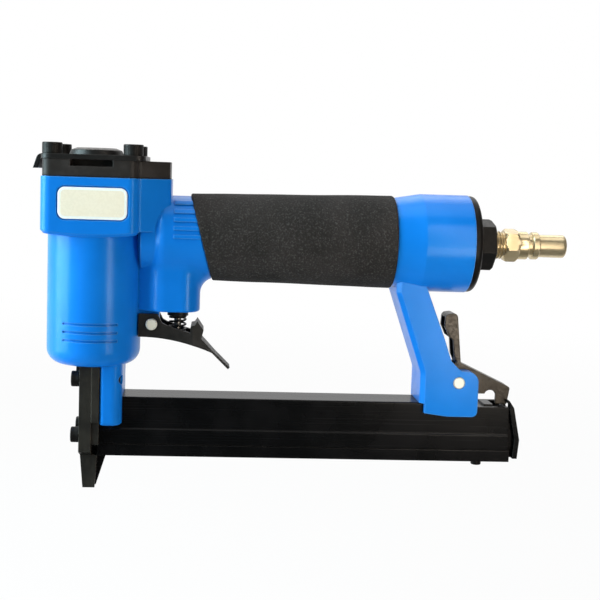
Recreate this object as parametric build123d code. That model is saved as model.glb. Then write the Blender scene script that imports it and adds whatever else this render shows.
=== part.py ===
from build123d import *
import math
import os

# A pneumatic fine-wire stapler, in millimetres.
# The origin is at the staple exit on the drive axis. +X runs back along the handle, +Z is up,
# and Y = 0 is the plane of symmetry. The near side is at -Y. The air plug points along +X.

# Fits
SEAT = 0.02                 # between pieces that are pushed or screwed together
RUN = 0.05                  # radial play of shafts, pistons and seals
CLEAR = 0.3                 # between pieces that move past each other
OVER = 1.0                  # how far a cutting tool runs past a face
FAR = 400.0                 # longer than anything here, for cutting tools

# Driver and nose
BLADE_WIDTH = 12.7          # a little under the staple's crown
BLADE_THICK = 0.9
BLADE_PLAY = 0.15
STROKE_RESERVE = 0.5        # left between piston and bumper at the end of the stroke
TIP_LENGTH = 14.6           # narrow end of the nose, below the magazine
TIP_SIDE_WALL = 1.45
TIP_FRONT_WALL = 2.6        # in front of the driver slot at the exit
TIP_REAR_REACH = 1.45       # side walls behind the driver slot at the exit
TIP_REAR_FLARE = 0.75       # how much further they reach at the top of the tip
NOSE_HALF = 13.0
NOSE_SHOULDER = 2.4         # height of the slope between the tip and the wide plate
FRONT_PLATE_THICK = 4.1
BACK_PLATE_THICK = 3.3
BACK_PLATE_RISE = 9.8       # the back plate's wide part above the magazine channel's lower edge
BACK_PLATE_LEG_HALF = 2.6   # half width of its legs, about the lower screws
NOSE_SCREW_R = 2.0
NOSE_SCREW_IN = 3.2         # screws inside the plate's edges
NOSE_SCREW_HEAD_R = 3.4
NOSE_SCREW_HEAD = 3.6
NOSE_SCREW_SOCKET = 3.0
NOSE_SOCKET_DEPTH = 2.2
UPPER_SCREW_DROP = 6.0      # below the top of the nose
LOWER_SCREW_RISE = 3.9      # above the lower edge of the magazine channel

# Magazine
COVER_HEIGHT = 5.0
COVER_SHEET = 1.5
COVER_BEHIND = 0.8          # slide cover behind the channel
BAND_HEIGHT = 7.0           # wider lower band of the channel
BAND_STEP = 0.6
UPPER_HEIGHT = 13.7
CHANNEL_HALF = 8.8
CHANNEL_WALL = 1.9
CHANNEL_ROOF = 1.5
CHANNEL_EDGE = 0.8          # rounding of the channel's upper edges
ROOF_OPEN = 14.6            # open rear end of the channel's roof, below the latch
RAIL_HALF = 5.4
RAIL_SHEET = 1.2
RAIL_BELOW_ROOF = 1.8
RAIL_PLUG = 4.0             # front plug in the rail, which holds the rod
RAIL_PLUG_RISE = 5.0        # plug above the rod's axis
TONGUE_TOP_GAP = 0.4        # tongue above the staple exit
GUSSET_REACH = 3.7          # gusset behind the front of the slide cover
GUSSET_HALF = 4.5
GUSSET_FOOT = 0.4           # gusset behind the tongue, at the exit
TONGUE_FOOT = 1.25          # tongue's thickness at the exit
PUSHER_LENGTH = 22.0
PUSHER_WEB = 10.0
PUSHER_SKIRT = 15.0
PUSHER_WEB_DROP = 4.0       # web below the rod's axis
ROD_R = 1.5
ROD_HEIGHT = 12.0           # above the slide's floor
ROD_GRIP = 6.0              # rod's length inside the rear block
PUSHER_SPRING_R = 2.7
PUSHER_WIRE_R = 0.35
PUSHER_SPRING_TURNS = 30
REAR_BLOCK_LENGTH = 18.0    # in front of the channel's rear end
CATCH_LENGTH = 4.0
CATCH_GAP = 1.0             # between catch and latch hook
BLOCK_NOTCH = 1.9           # rear block's top below the channel's roof, under the hook
END_PLATE_SHEET = 2.1
END_PLATE_BULGE = 5.1       # end plate's outermost line behind the channel
END_PLATE_BULGE_RISE = 10.0 # that line above the slide's lower side
END_PLATE_FOOT = 0.7        # how far the lower edge draws in
END_PLATE_BEND = 2.1        # upper bend behind the channel
END_PLATE_BEND_DROP = 1.6   # upper bend below the magazine's top
END_PLATE_LIP = 1.0         # lip over the channel's roof
END_PLATE_LIP_SHEET = 1.4
END_NOTCH_DROP = 3.5        # notch for the hook below the magazine's top
SLIDE_SCREW_R = 2.0
SLIDE_SCREW_HEAD_R = 2.3
SLIDE_SCREW_HEAD = 3.6
SLIDE_SCREW_SOCKET = 2.5
SLIDE_SCREW_GRIP = 8.0
SLIDE_SCREW_FORE = 11.5     # in front of the channel's rear end

# Barrel and head
FOOT_RISE = 13.8            # magazine top to barrel bottom
BARREL_R = 20.4
BARREL_ROUND = 6.5
BARREL_FLOOR = 4.4
BARREL_WALL = 2.6
FLOOR_SLOT_PLAY = 0.4       # around the driver slot, through the barrel's floor
BOSS_RISE = 24.1            # barrel bottom to boss bottom
HANDLE_RISE = 32.2          # boss bottom to handle axis
HEAD_RISE = 24.7            # handle axis to the gasket
HEAD_FRONT_OVER = 1.0       # head block outside the barrel, to the front
HEAD_SIDE_OVER = 1.4
HEAD_REAR_UNDER = 0.3       # barrel outside the head block, to the rear
HEAD_CORNER = 4.5
HEAD_HEIGHT = 22.4          # gasket to the lower edge of the head block's sides
HEAD_SLOPE = 1.2            # sloping underside of the head block
HEAD_DROOP = 1.4            # how far its lower edge bows down
RIB_REACH = 12.6            # rib behind the head block, from the barrel
RIB_REAR_HALF = 11.0
RIB_FRONT_IN = 2.8          # its front end inside the sides of the head block
RIB_FRONT_ROUND = 3.0
RIB_REAR_ROUND = 2.0
GROOVE_PITCH = 3.55
GROOVE_WIDTH = 0.9
GROOVE_DEPTH = 0.5
GROOVE_COUNT = 3
GROOVE_RISE = 18.9          # uppermost groove above the barrel bottom
GROOVE_SPAN = 11.5          # half length of a groove
PLATE_FRONT_IN = 7.7        # plate behind the front of the head block
PLATE_REAR_IN = 5.0         # and in front of its rear
PLATE_HEIGHT = 13.3
PLATE_CORNER = 3.0
PLATE_THICK = 0.8
PLATE_DROP = 4.2            # below the gasket
PLATE_RECESS = 0.6
PLATE_MARGIN = 0.5

# Head cap
GASKET = 0.5
CAP_HEIGHT = 6.8
CAP_INSET = 0.6
EXHAUST_R = 10.5
EXHAUST_DEPTH = 4.4
EXHAUST_FRONT_HALF = 9.0
SIDE_PORT_HALF = 8.8
SIDE_PORT_HEIGHT = 2.8
SIDE_PORT_DEPTH = 6.0
POST_R = 5.0
POST_BORE_R = 3.0
POST_LENGTH = 14.0
COVER_THICK = 2.1
COVER_INSET = 0.3
COVER_CORNER = 4.5
COVER_REAR = 2.3            # cover behind the head block
DOME_R = 11.8
DOME_RISE = 3.1
DOME_SHOULDER_R = 11.0
DOME_SHOULDER = 2.2
DOME_TOP_R = 8.5
DOME_SHEET = 1.6
LIP_HALF = 13.0
LIP_REACH = 4.0             # lip's lower edge in front of the head block
LIP_DROP = 6.2              # lip's lower edge below the cover's top
LIP_BEND = 2.0              # bend in front of the head block
LIP_BEND_ROUND = 2.5
CAP_SCREW_IN = 3.5          # screws inside the barrel's outside, lengthwise
CAP_SCREW_SIDE_IN = 4.4     # and to the sides
CAP_SCREW_R = 2.5
CAP_SCREW_HEAD_R = 4.2
CAP_SCREW_HEAD = 4.75
CAP_SCREW_SOCKET = 4.0
CAP_SOCKET_DEPTH = 2.8
CAP_SCREW_GRIP = 16.0       # thread length in the housing
SCREW_EDGE = 0.4            # rounding of screw heads

# Cylinder, piston and head valve
VALVE_ROOM = 16.6           # housing's top above the sleeve, for the head valve
SLEEVE_GAP = 2.3            # air space around the sleeve
SLEEVE_WALL = 1.5
SLEEVE_COLLAR = 6.0
UPPER_COLLAR_DROP = 12.0    # upper collar's top below the sleeve's top
SLEEVE_PORT_R = 1.5
SLEEVE_PORT_RISE = 3.0      # return ports above the bumper
SEAL_R = 1.1
BUMPER_HEIGHT = 10.0
BUMPER_ROUND = 1.5
PISTON_HEIGHT = 10.0
PISTON_UNDER = 0.8          # piston at rest below the sleeve's top
PISTON_SLOT = 6.0
PISTON_RING_RISE = 5.5
RING_HEIGHT = 3.0
RING_DEPTH = 1.8
DRIVER_PIN_R = 1.5
DRIVER_PIN_RISE = 3.0
DRIVER_PIN_UNDER = 4.95     # pin's ends inside the piston's outside
VALVE_DISC = 6.0
VALVE_HUB = 6.0
VALVE_HUB_WALL = 3.5
VALVE_SPRING_IN = 5.3       # middle of the spring's wire inside the bore
VALVE_WIRE_R = 0.8
VALVE_SPRING_TURNS = 4

# Handle
NECK_R = 17.7
WAIST_HALF = 7.0            # neck draws in to this where it meets the barrel
WAIST_IN = 4.0              # that place, inside the barrel's outside
WAIST_LENGTH = 14.6         # length over which it widens again
WAIST_STEPS = 7             # sections along that length
NECK_RIB_COUNT = 5
NECK_RIB_PITCH = 3.55
NECK_RIB_WIDTH = 1.7
NECK_RIB_HEIGHT = 0.55
NECK_RIB_TOP = 15.0         # uppermost rib above the handle axis
NECK_RIB_START = 14.0       # behind the barrel
HANDLE_BORE_R = 13.0
AIR_PASSAGE_R = 5.0         # from the handle into the barrel
GRIP_BEHIND = 25.9          # grip's front, on the handle axis, behind the barrel
GRIP_SLANT = 14.8
GRIP_LENGTH = 83.7
GRIP_FRONT_R = 18.9
GRIP_REAR_R = 20.4
GRIP_WALL = 3.0
GRIP_EDGE = 0.8
FLARE_LENGTH = 33.0
FLARE_FRONT_R = 19.5
FLARE_R = 21.5
FLARE_CONE = 12.0           # length of the flare's widening front

# End cap and air plug
END_BORE_R = 17.6
END_SPIGOT = 10.0
END_FLANGE = 3.4
END_FLANGE_UNDER = 0.3      # flange inside the flare's outside
END_FLANGE_ROUND = 2.0
END_HEX = 20.0
END_HEX_LENGTH = 8.6
HEX_EDGE = 0.8              # turned edge of the hexagons
HEX_TURN = 15.0             # their lower near corner, below the axis
END_PASSAGE_R = 5.0
THREAD_R = 6.3
THREAD_DEPTH = 12.0
THREAD_RESERVE = 1.0
PLUG_NECK = 5.2
PLUG_HEX = 13.0
PLUG_HEX_LENGTH = 6.2
PLUG_COLLAR_R = 6.2
PLUG_COLLAR = 4.5
PLUG_GROOVE_R = 4.9
PLUG_GROOVE = 1.7
PLUG_RING_R = 6.1
PLUG_RING = 3.0
PLUG_NOSE_R = 5.1
PLUG_NOSE = 12.2
PLUG_NOSE_EDGE = 0.9
PLUG_BORE_R = 3.2

# Trigger and its valve
BOSS_REACH = 25.9           # boss rear face behind the barrel
BOSS_HALF = 12.8
BOSS_CORNER = 8.0
BOSS_BLEND = 7.0            # hollow between boss and neck
BOSS_EDGE = 1.0
TRIGGER_PIN_BEHIND = 5.1    # behind the barrel
TRIGGER_PIN_DROP = 5.9      # below the boss
TRIGGER_PIN_R = 2.5
TRIGGER_PIN_HEAD = 1.4
PIN_EDGE = 0.4
TRIGGER_HALF = 7.6
TRIGGER_WALL = 2.0
TRIGGER_FLOOR = 1.4
TRIGGER_BARREL_GAP = 0.8    # front of the trigger, around the barrel
TRIGGER_FRONT = 6.2         # trigger in front of its pin
TRIGGER_FRONT_DROP = 5.7    # its underside below the pin, at the front
TRIGGER_UNDER = 7.35        # and at the valve
TRIGGER_BEND = 26.5         # start of the tail behind the pin
TRIGGER_BEND_DROP = 12.4
TRIGGER_POCKET = 17.0       # rear end of the hollow behind the pin
TRIGGER_TAIL_HALF = 4.5     # half width at the tail's end
TRIGGER_TAPER = 18.0        # where the trigger starts to narrow, behind the pin
TRIGGER_TAIL = [(33.8, -19.7), (34.6, -19.0), (27.9, -12.6), (21.8, -6.2)]     # tail, from the pin
TRIGGER_STOP = [(22.7, -2.4), (19.9, 1.6), (18.8, -0.2), (17.3, -0.6)]         # stop below the boss
TRIGGER_RIM = [(16.8, -3.6), (6.3, -0.4), (4.5, 0.6), (2.6, 4.4), (-6.2, 4.4)] # upper edge of the walls
STEM_PAD_R = 4.3            # flat on the trigger's floor under spring and stem
STEM_PAD_DROP = 4.6         # that flat below the pin
LUG_R = 3.9
LUG_REAR = 3.2              # lug behind the trigger pin
LUG_ROUND = 2.5
LUG_ROOT = 2.0
VALVE_ARM = 11.2            # valve axis behind the trigger pin
VALVE_R = 5.2
VALVE_LENGTH = 17.0
VALVE_COLLAR_R = 4.6
VALVE_COLLAR = 2.6
VALVE_CHAMBER_RISE = 4.0
VALVE_SEAL_R = 0.8
VALVE_SEAL_LOW = 5.0        # seals above the boss
VALVE_SEAL_HIGH = 13.0
STEM_R = 1.6
STEM_HEAD_R = 2.8
STEM_HEAD = 4.0
STEM_RISE = 12.0            # stem head's top above the boss
STEM_SEAL_R = 0.7
STEM_SEAL_RISE = 2.0
TRIGGER_SPRING_R = 3.5
TRIGGER_WIRE_R = 0.45
TRIGGER_SPRING_TURNS = 4

# Rear leg and latch
LEG_HALF = 11.5
LEG_EDGE = 2.0
LEG_ROOT = 11.0             # leg's upper end below the handle axis, inside the flare
LEG_TOP_BEHIND = 1.7        # leg's front edge at the flare, behind the grip
LEG_TOP_DROP = 21.5         # where that edge starts to slope, below the handle axis
LEG_KNEE_BEHIND = 13.9
LEG_KNEE_RISE = 13.6        # above the magazine
LEG_KNEE_ROUND = 6.0
LEG_STEP = 2.1              # cheeks behind the leg's front edge
LEG_REAR_BEHIND = 14.5      # leg's rear edge at the flare, behind the grip
LEG_REAR_DROP = 18.0
LEG_BEND_FORE = 7.3         # bend in the leg's rear edge, in front of the latch pin
LEG_BEND_RISE = 19.4
LEG_BEND_ROUND = 20.0
LEG_WAIST_FORE = 3.9
LEG_WAIST_RISE = 9.7
LEG_WAIST_ROUND = 4.0
CHEEK_DROP = 5.5            # cheeks below the magazine's top
CHEEK_LIFT = 1.3            # their lower edge rises by this towards the front
CHEEK_LIFT_LENGTH = 10.0
CHEEK_CORNER = 2.5
CHEEK_TOP = 5.2             # cheeks above the latch pin
CHEEK_TOP_ROUND = 5.0
LATCH_PIN_BEHIND = 30.9     # behind the grip
LATCH_PIN_RISE = 9.5        # above the magazine
LATCH_PIN_R = 2.65
LUG_REACH = 8.6             # cheeks' rear edge behind the latch pin
LATCH_HALF = 4.8
LATCH_SHEET = 1.6
LATCH_HUB_R = 6.0
LATCH_FAR_PLATE = 11.0      # end of the lever's far plate behind the pin; the near one has the hook
LATCH_NOTCH_R = 2.6
LATCH_NOTCH_BEHIND = 15.7
LATCH_NOTCH_DROP = 6.6
TOOTH_DROP = 10.2           # hook's tip below the latch pin
TOOTH_BEHIND = 18.3         # hook's front face behind the latch pin
TOOTH_LENGTH = 5.1
LATCH_PAD = [(-5.7, 29.6), (-0.5, 30.2)]        # thumb pad, from the pin
LATCH_BACK = [(1.9, 7.9), (24.6, -2.7)]         # rear edge, pad to hook
LATCH_BELLY_DROP = 5.7      # lower edge in front of the hook, below the latch pin
LATCH_BELLY = [(3.0, -5.8), (-4.0, 3.0)]        # lower edge at the hub
LATCH_WAIST = [(0.2, 8.0), (-1.1, 11.0), (-1.8, 18.0), (-4.0, 19.6), (-6.0, 24.0)]  # front edge
LATCH_PAD_ROUND = 2.0
LATCH_HOOK_ROUND = 1.2
POCKET_GAP = 0.5            # beside the latch lever
POCKET_DEPTH = 13.4         # latch pocket in the leg, in front of the latch pin
POCKET_TOP = 33.6           # above the latch pin
POCKET_BEND = 17.6
POCKET_LOW_DEPTH = 6.9
POCKET_LOW_BEND = 9.6
LATCH_SPRING_R = 3.7
LATCH_WIRE_R = 0.4
LATCH_SPRING_TURNS = 3
LATCH_SPRING_LENGTH = 5.4
CHANNEL_BEHIND = 23.6       # channel's rear end behind the latch pin
MAGAZINE_SCREW_R = 2.0
MAGAZINE_SCREW_HEAD_R = 3.4
MAGAZINE_SCREW_LENGTH = 8.0
MAGAZINE_SCREW_BEHIND = 5.5 # behind the leg's knee
FOOT_LENGTH = 9.7
FOOT_DROP = 12.3            # feet below the magazine's top
FOOT_CORNER = 4.5
FOOT_FRONT_CORNER = 2.0
FOOT_EDGE = 1.5
FOOT_ROOT = 7.0             # feet inside the barrel's rounded bottom

# Heights and lengths that follow from these
slot_front = -(BLADE_THICK / 2 + BLADE_PLAY)
slot_back = -slot_front
slot_half = BLADE_WIDTH / 2 + BLADE_PLAY
tip_half = slot_half + TIP_SIDE_WALL
plate_front = slot_front - FRONT_PLATE_THICK
plate_back = slot_back + BACK_PLATE_THICK
tip_rear = slot_back + TIP_REAR_REACH + TIP_REAR_FLARE
cover_front = tip_rear + CLEAR
slide_bottom = TIP_LENGTH + CLEAR
slide_floor = slide_bottom + COVER_SHEET
cover_top = slide_bottom + COVER_HEIGHT
channel_low = cover_top + CLEAR
band_top = channel_low + BAND_HEIGHT
magazine_top = band_top + UPPER_HEIGHT
roof = magazine_top - CHANNEL_ROOF
channel_inner = CHANNEL_HALF - CHANNEL_WALL
band_half = CHANNEL_HALF + BAND_STEP
band_inner = channel_inner + BAND_STEP
rail_front = slot_back + CLEAR
rail_top = roof - RAIL_BELOW_ROOF
rod_axis = slide_floor + ROD_HEIGHT
barrel_bottom = magazine_top + FOOT_RISE
bore_bottom = barrel_bottom + BARREL_FLOOR
bore_r = BARREL_R - BARREL_WALL
sleeve_outer = bore_r - SLEEVE_GAP
sleeve_inner = sleeve_outer - SLEEVE_WALL
boss_bottom = barrel_bottom + BOSS_RISE
handle_axis = boss_bottom + HANDLE_RISE
housing_top = handle_axis + HEAD_RISE
cap_bottom = housing_top + GASKET
cap_top = cap_bottom + CAP_HEIGHT
cover_outside = cap_top + COVER_THICK
head_front = -(BARREL_R + HEAD_FRONT_OVER)
head_rear = BARREL_R - HEAD_REAR_UNDER
head_half = BARREL_R + HEAD_SIDE_OVER
cap_screw_x = BARREL_R - CAP_SCREW_IN
cap_screw_y = BARREL_R - CAP_SCREW_SIDE_IN
head_edge = housing_top - HEAD_HEIGHT
rib_rear = BARREL_R + RIB_REACH
boss_rear = BARREL_R + BOSS_REACH
trigger_x = BARREL_R + TRIGGER_PIN_BEHIND
trigger_z = boss_bottom - TRIGGER_PIN_DROP
valve_x = trigger_x + VALVE_ARM
waist_front = BARREL_R - WAIST_IN
waist_rear = waist_front + WAIST_LENGTH
grip_front = BARREL_R + GRIP_BEHIND
grip_rear = grip_front + GRIP_LENGTH
flare_rear = grip_rear + FLARE_LENGTH
end_rear = flare_rear + END_FLANGE
hex_rear = end_rear + END_HEX_LENGTH
latch_x = grip_rear + LATCH_PIN_BEHIND
latch_z = magazine_top + LATCH_PIN_RISE
channel_rear = latch_x + CHANNEL_BEHIND
block_front = channel_rear - REAR_BLOCK_LENGTH
tooth_front = latch_x + TOOTH_BEHIND
tooth_tip = latch_z - TOOTH_DROP
knee_x = grip_rear + LEG_KNEE_BEHIND
foot_front = plate_back
foot_rear = foot_front + FOOT_LENGTH
nose_screw_y = NOSE_HALF - NOSE_SCREW_IN
upper_screw = barrel_bottom - UPPER_SCREW_DROP
lower_screw = channel_low + LOWER_SCREW_RISE
magazine_screw_x = knee_x + MAGAZINE_SCREW_BEHIND
slide_screw_x = channel_rear - SLIDE_SCREW_FORE
sleeve_top = housing_top - VALVE_ROOM
bumper_top = bore_bottom + BUMPER_HEIGHT
piston_bottom = sleeve_top - PISTON_UNDER - PISTON_HEIGHT
stroke = piston_bottom - bumper_top - STROKE_RESERVE
blade_top = piston_bottom + PISTON_SLOT
disc_low = sleeve_top + CLEAR
disc_top = disc_low + VALVE_DISC
lug_half = TRIGGER_HALF - TRIGGER_WALL - CLEAR


def upright(radius, low, high, x=0.0, y=0.0):
    """A round bar along Z between two heights."""
    bar = Cylinder(radius, high - low, align=(Align.CENTER, Align.CENTER, Align.MIN))
    return Pos(x, y, low) * bar


def lengthwise(radius, front, rear, y=0.0, z=0.0):
    """A round bar along X between two stations."""
    bar = Cylinder(radius, rear - front, align=(Align.CENTER, Align.CENTER, Align.MIN))
    return Pos(front, y, z) * Rot(0, 90, 0) * bar


def crosswise(radius, half, x, z):
    """A round bar along Y, spread to both sides of the plane of symmetry."""
    return Pos(x, 0, z) * Rot(90, 0, 0) * Cylinder(radius, 2 * half)


def block(x, y, z):
    """A box from three (low, high) pairs."""
    centre = Pos((x[0] + x[1]) / 2, (y[0] + y[1]) / 2, (z[0] + z[1]) / 2)
    return centre * Box(x[1] - x[0], y[1] - y[0], z[1] - z[0])


def across(half):
    """The (low, high) pair of a width centred on the plane of symmetry."""
    return (-half, half)


def side_shape(line, half):
    """A closed line in the XZ plane, spread to both sides of the plane of symmetry."""
    return extrude(Plane.XZ * make_face(line), amount=half, both=True)


def side_plate(points, radii, half):
    """A polygon in the XZ plane with rounded corners, spread to both sides."""
    return side_shape(FilletPolyline(*points, radius=radii, close=True), half)


def side_polygon(points, half):
    """A polygon in the XZ plane with sharp corners, spread to both sides."""
    return side_shape(Polyline(*points, close=True), half)


def plan_plate(points, radii, low, high):
    """A polygon in plan with rounded corners, between two heights."""
    face = make_face(FilletPolyline(*points, radius=radii, close=True))
    return Pos(0, 0, low) * extrude(face, amount=high - low, dir=(0, 0, 1))


def front_plate(points, front, rear):
    """A polygon in the YZ plane, between two stations along X."""
    face = make_face(Polyline(*points, close=True))
    plane = Plane(origin=(front, 0, 0), x_dir=(0, 1, 0), z_dir=(1, 0, 0))
    return extrude(plane * face, amount=rear - front, dir=(1, 0, 0))


def mirrored(half_outline):
    """The (y, z) points of one half, and the same points on the other side in reverse."""
    return half_outline + [(-y, z) for y, z in reversed(half_outline)]


def turned_handle(points):
    """A profile of (station, radius) points turned about the handle axis."""
    line = Polyline(*[(x, handle_axis + r) for x, r in points], close=True)
    return revolve(Plane.XZ * make_face(line), axis=Axis((0, 0, handle_axis), (1, 0, 0)))


def turned_upright(points, low):
    """A profile of (radius, height) points turned about the drive axis."""
    line = Polyline(*[(r, low + z) for r, z in points], close=True)
    return revolve(Plane.XZ * make_face(line), axis=Axis.Z)


def hex_lengthwise(across_flats, front, rear, turn):
    """A hexagonal bar along the handle axis with its rear corners turned off."""
    plane = Plane(origin=(front, 0, handle_axis), x_dir=(0, 1, 0), z_dir=(1, 0, 0))
    face = plane * RegularPolygon(across_flats / 2, 6, major_radius=False, rotation=turn)
    corner = across_flats / math.sqrt(3)
    turned = turned_handle([
        (front, 0), (front, corner), (rear - HEX_EDGE, corner), (rear, corner - HEX_EDGE), (rear, 0),
    ])
    return extrude(face, amount=rear - front, dir=(1, 0, 0)) & turned


def hex_upright(across_flats, low, high, x, y):
    """A hexagonal bar along Z."""
    face = Pos(x, y, low) * RegularPolygon(across_flats / 2, 6, major_radius=False)
    return extrude(face, amount=high - low, dir=(0, 0, 1))


def ring(outer, inner, low, high):
    """A flat-sided ring about the drive axis."""
    return upright(outer, low, high) - upright(inner, low - OVER, high + OVER)


def seal_groove(outer_r, wire_r, height):
    """The groove about Z for a round seal that fills it up to its outer radius."""
    floor = outer_r - 2 * wire_r - 2 * SEAT
    return ring(outer_r + OVER, floor, height - wire_r - SEAT, height + wire_r + SEAT)


def seal_ring(outer_r, wire_r, height):
    """The round seal of such a groove."""
    return Pos(0, 0, height) * Torus(outer_r - wire_r - SEAT, wire_r)


def both_sides(shape):
    """A shape and its mirror image on the other side of the plane of symmetry."""
    return shape + mirror(shape, about=Plane.XZ)


def helix_arcs(mean_r, length, turns):
    """A helix about Z as tangent arcs: one pair of arcs for each half turn."""
    half_turns = 2 * turns
    climb = length / half_turns / math.pi
    speed = math.hypot(mean_r, climb)

    def station(k):
        angle = math.pi * k
        point = Vector(mean_r * math.cos(angle), mean_r * math.sin(angle), climb * angle)
        along = Vector(-mean_r * math.sin(angle), mean_r * math.cos(angle), climb) * (1 / speed)
        return point, along

    arcs = []
    for k in range(half_turns):
        start, leaving = station(k)
        end, arriving = station(k + 1)
        chord = end - start
        square = 2 * (leaving.dot(arriving) - 1)
        linear = -2 * chord.dot(leaving + arriving)
        root = math.sqrt(linear**2 - 4 * square * chord.dot(chord))
        reach = (-linear - root) / (2 * square)
        corner_a = start + leaving * reach
        corner_b = end - arriving * reach
        joint = (corner_a + corner_b) * 0.5
        for a, corner, b in ((start, corner_a, joint), (joint, corner_b, end)):
            half_angle = math.acos((corner - a).normalized().dot((b - corner).normalized())) / 2
            arc_r = reach / math.tan(half_angle)
            to_chord = ((a + b) * 0.5 - corner).normalized()
            middle = corner + to_chord * (arc_r / math.cos(half_angle) - arc_r)
            arcs.append(ThreePointArc(a, middle, b))
    return arcs


def coil(name, mean_r, wire_r, length, turns):
    """An open coil spring about Z, from height 0 to its length, in one unbroken wire."""
    arcs = helix_arcs(mean_r, length - 2 * wire_r, turns)
    path = Wire([arc.edge() for arc in arcs])
    start = Plane(origin=path @ 0, z_dir=path % 0)
    wire = sweep(start * Circle(wire_r), path=path)
    points = [arc @ share for arc in arcs for share in (0.0, 0.25, 0.5, 0.75)]
    half_turn = len(points) // turns // 2
    least = min(
        (points[i] - points[j]).length
        for i in range(len(points))
        for j in range(i + half_turn, min(i + 3 * half_turn, len(points)))
    )
    print(f"{name}: {turns} turns, least gap {least - 2 * wire_r:.2f} mm")
    return Pos(0, 0, wire_r) * wire


parts = {}

# The housing is one casting: barrel, head block, neck, trigger boss, handle tube, flare, leg and feet


def make_barrel():
    """The upright cylinder with its rounded bottom and the short grooves on both sides."""
    barrel = upright(BARREL_R, barrel_bottom, housing_top)
    barrel = fillet(barrel.edges().group_by(Axis.Z)[0], BARREL_ROUND)
    for k in range(GROOVE_COUNT):
        height = barrel_bottom + GROOVE_RISE - k * GROOVE_PITCH
        low = height - GROOVE_WIDTH / 2
        groove = ring(BARREL_R + OVER, BARREL_R - GROOVE_DEPTH, low, low + GROOVE_WIDTH)
        barrel -= groove & block(across(GROOVE_SPAN), across(FAR), across(FAR))
    return barrel


def make_head_block():
    """The square head with its sloping, slightly bowed underside."""
    low = head_edge - HEAD_SLOPE
    middle = (head_front + head_rear) / 2
    bow = ThreePointArc((head_front, low), (middle, low - HEAD_DROOP), (head_rear, low))
    rest = Polyline(
        (head_rear, low), (head_rear, housing_top), (head_front, housing_top), (head_front, low),
    )
    head = side_shape(bow + rest, head_half)
    head = fillet(head.edges().filter_by(Axis.Z), HEAD_CORNER)
    return chamfer(head.faces().sort_by(Axis.Z)[0].edges(), HEAD_SLOPE)


def make_rib(low, high, inset):
    """The narrowing rib behind the head block, which the cap and the gasket repeat."""
    front_half = head_half - RIB_FRONT_IN - inset
    rear_half = RIB_REAR_HALF - inset
    outline = [
        (0, -front_half), (head_rear, -front_half), (rib_rear - inset, -rear_half),
        (rib_rear - inset, rear_half), (head_rear, front_half), (0, front_half),
    ]
    rounds = [0, RIB_FRONT_ROUND, RIB_REAR_ROUND, RIB_REAR_ROUND, RIB_FRONT_ROUND, 0]
    return plan_plate(outline, rounds, low, high)


def make_head_plan(low, high, inset):
    """The outline of head block and rib, drawn in by an inset."""
    corners = [
        (head_front + inset, -head_half + inset), (head_rear - inset, -head_half + inset),
        (head_rear - inset, head_half - inset), (head_front + inset, head_half - inset),
    ]
    return plan_plate(corners, [HEAD_CORNER - inset] * 4, low, high) + make_rib(low, high, inset)


def make_neck_and_boss():
    """Neck and trigger boss, with the hollow between them, drawn in smoothly towards the barrel."""
    neck_end = grip_front + NECK_R
    neck = lengthwise(NECK_R, 0, neck_end, z=handle_axis)
    outline = [(0, -BOSS_HALF), (boss_rear, -BOSS_HALF), (boss_rear, BOSS_HALF), (0, BOSS_HALF)]
    boss = plan_plate(outline, [0, BOSS_CORNER, BOSS_CORNER, 0], boss_bottom, handle_axis)
    boss = fillet(boss.faces().sort_by(Axis.Z)[0].edges(), BOSS_EDGE)
    body = neck + boss
    seam = new_edges(neck, boss, combined=body)
    body = fillet(seam.filter_by(lambda edge: edge.center().Z < handle_axis - BOSS_EDGE), BOSS_BLEND)
    rear = body & block((waist_rear, neck_end), across(FAR), (0, housing_top))
    widest = rear.faces().sort_by(Axis.X)[0]
    least = WAIST_HALF / NECK_R
    sections = []
    for k in range(WAIST_STEPS + 1):
        way = k / WAIST_STEPS
        narrowing = least + (1 - least) * way**2 * (3 - 2 * way)
        station = Pos((way - 1) * WAIST_LENGTH, 0, 0)
        sections.append(station * scale(widest, by=(1, narrowing, 1)))
    return rear + loft(sections)


def make_neck_ribs():
    """The low ribs along both sides of the neck."""
    ribs = Part()
    round_bar = lengthwise(NECK_R + NECK_RIB_HEIGHT, 0, grip_front + NECK_R, z=handle_axis)
    for k in range(NECK_RIB_COUNT):
        low = handle_axis + NECK_RIB_TOP - k * NECK_RIB_PITCH - NECK_RIB_WIDTH / 2
        stations = (BARREL_R + NECK_RIB_START, grip_rear)
        ribs += round_bar & block(stations, across(FAR), (low, low + NECK_RIB_WIDTH))
    return ribs


def make_trigger_lug():
    """The lug below the boss that the trigger's two walls straddle."""
    rear = trigger_x + LUG_REAR
    low = trigger_z - LUG_R
    root = boss_bottom + LUG_ROOT
    outline = [(0, low), (rear, low), (rear, root), (0, root)]
    return side_plate(outline, [0, LUG_ROUND, 0, 0], lug_half)


slant_angle = math.radians(GRIP_SLANT)
slant = Plane(
    origin=(grip_front, 0, handle_axis),
    x_dir=(0, 1, 0),
    z_dir=(math.cos(slant_angle), 0, math.sin(slant_angle)),
)


def grip_radius(x):
    """Outside radius of the grip, which widens evenly to the rear."""
    return GRIP_FRONT_R + (GRIP_REAR_R - GRIP_FRONT_R) * (x - grip_front) / GRIP_LENGTH


def make_handle_tube():
    """The tube under the grip, and the flare behind it: a short cone, then a plain cylinder."""
    tube = turned_handle([
        (BARREL_R, 0), (BARREL_R, grip_radius(BARREL_R) - GRIP_WALL),
        (flare_rear, grip_radius(flare_rear) - GRIP_WALL), (flare_rear, 0),
    ])
    flare = turned_handle([
        (grip_rear, 0), (grip_rear, FLARE_FRONT_R), (grip_rear + FLARE_CONE, FLARE_R),
        (flare_rear, FLARE_R), (flare_rear, 0),
    ])
    return tube + flare


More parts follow.
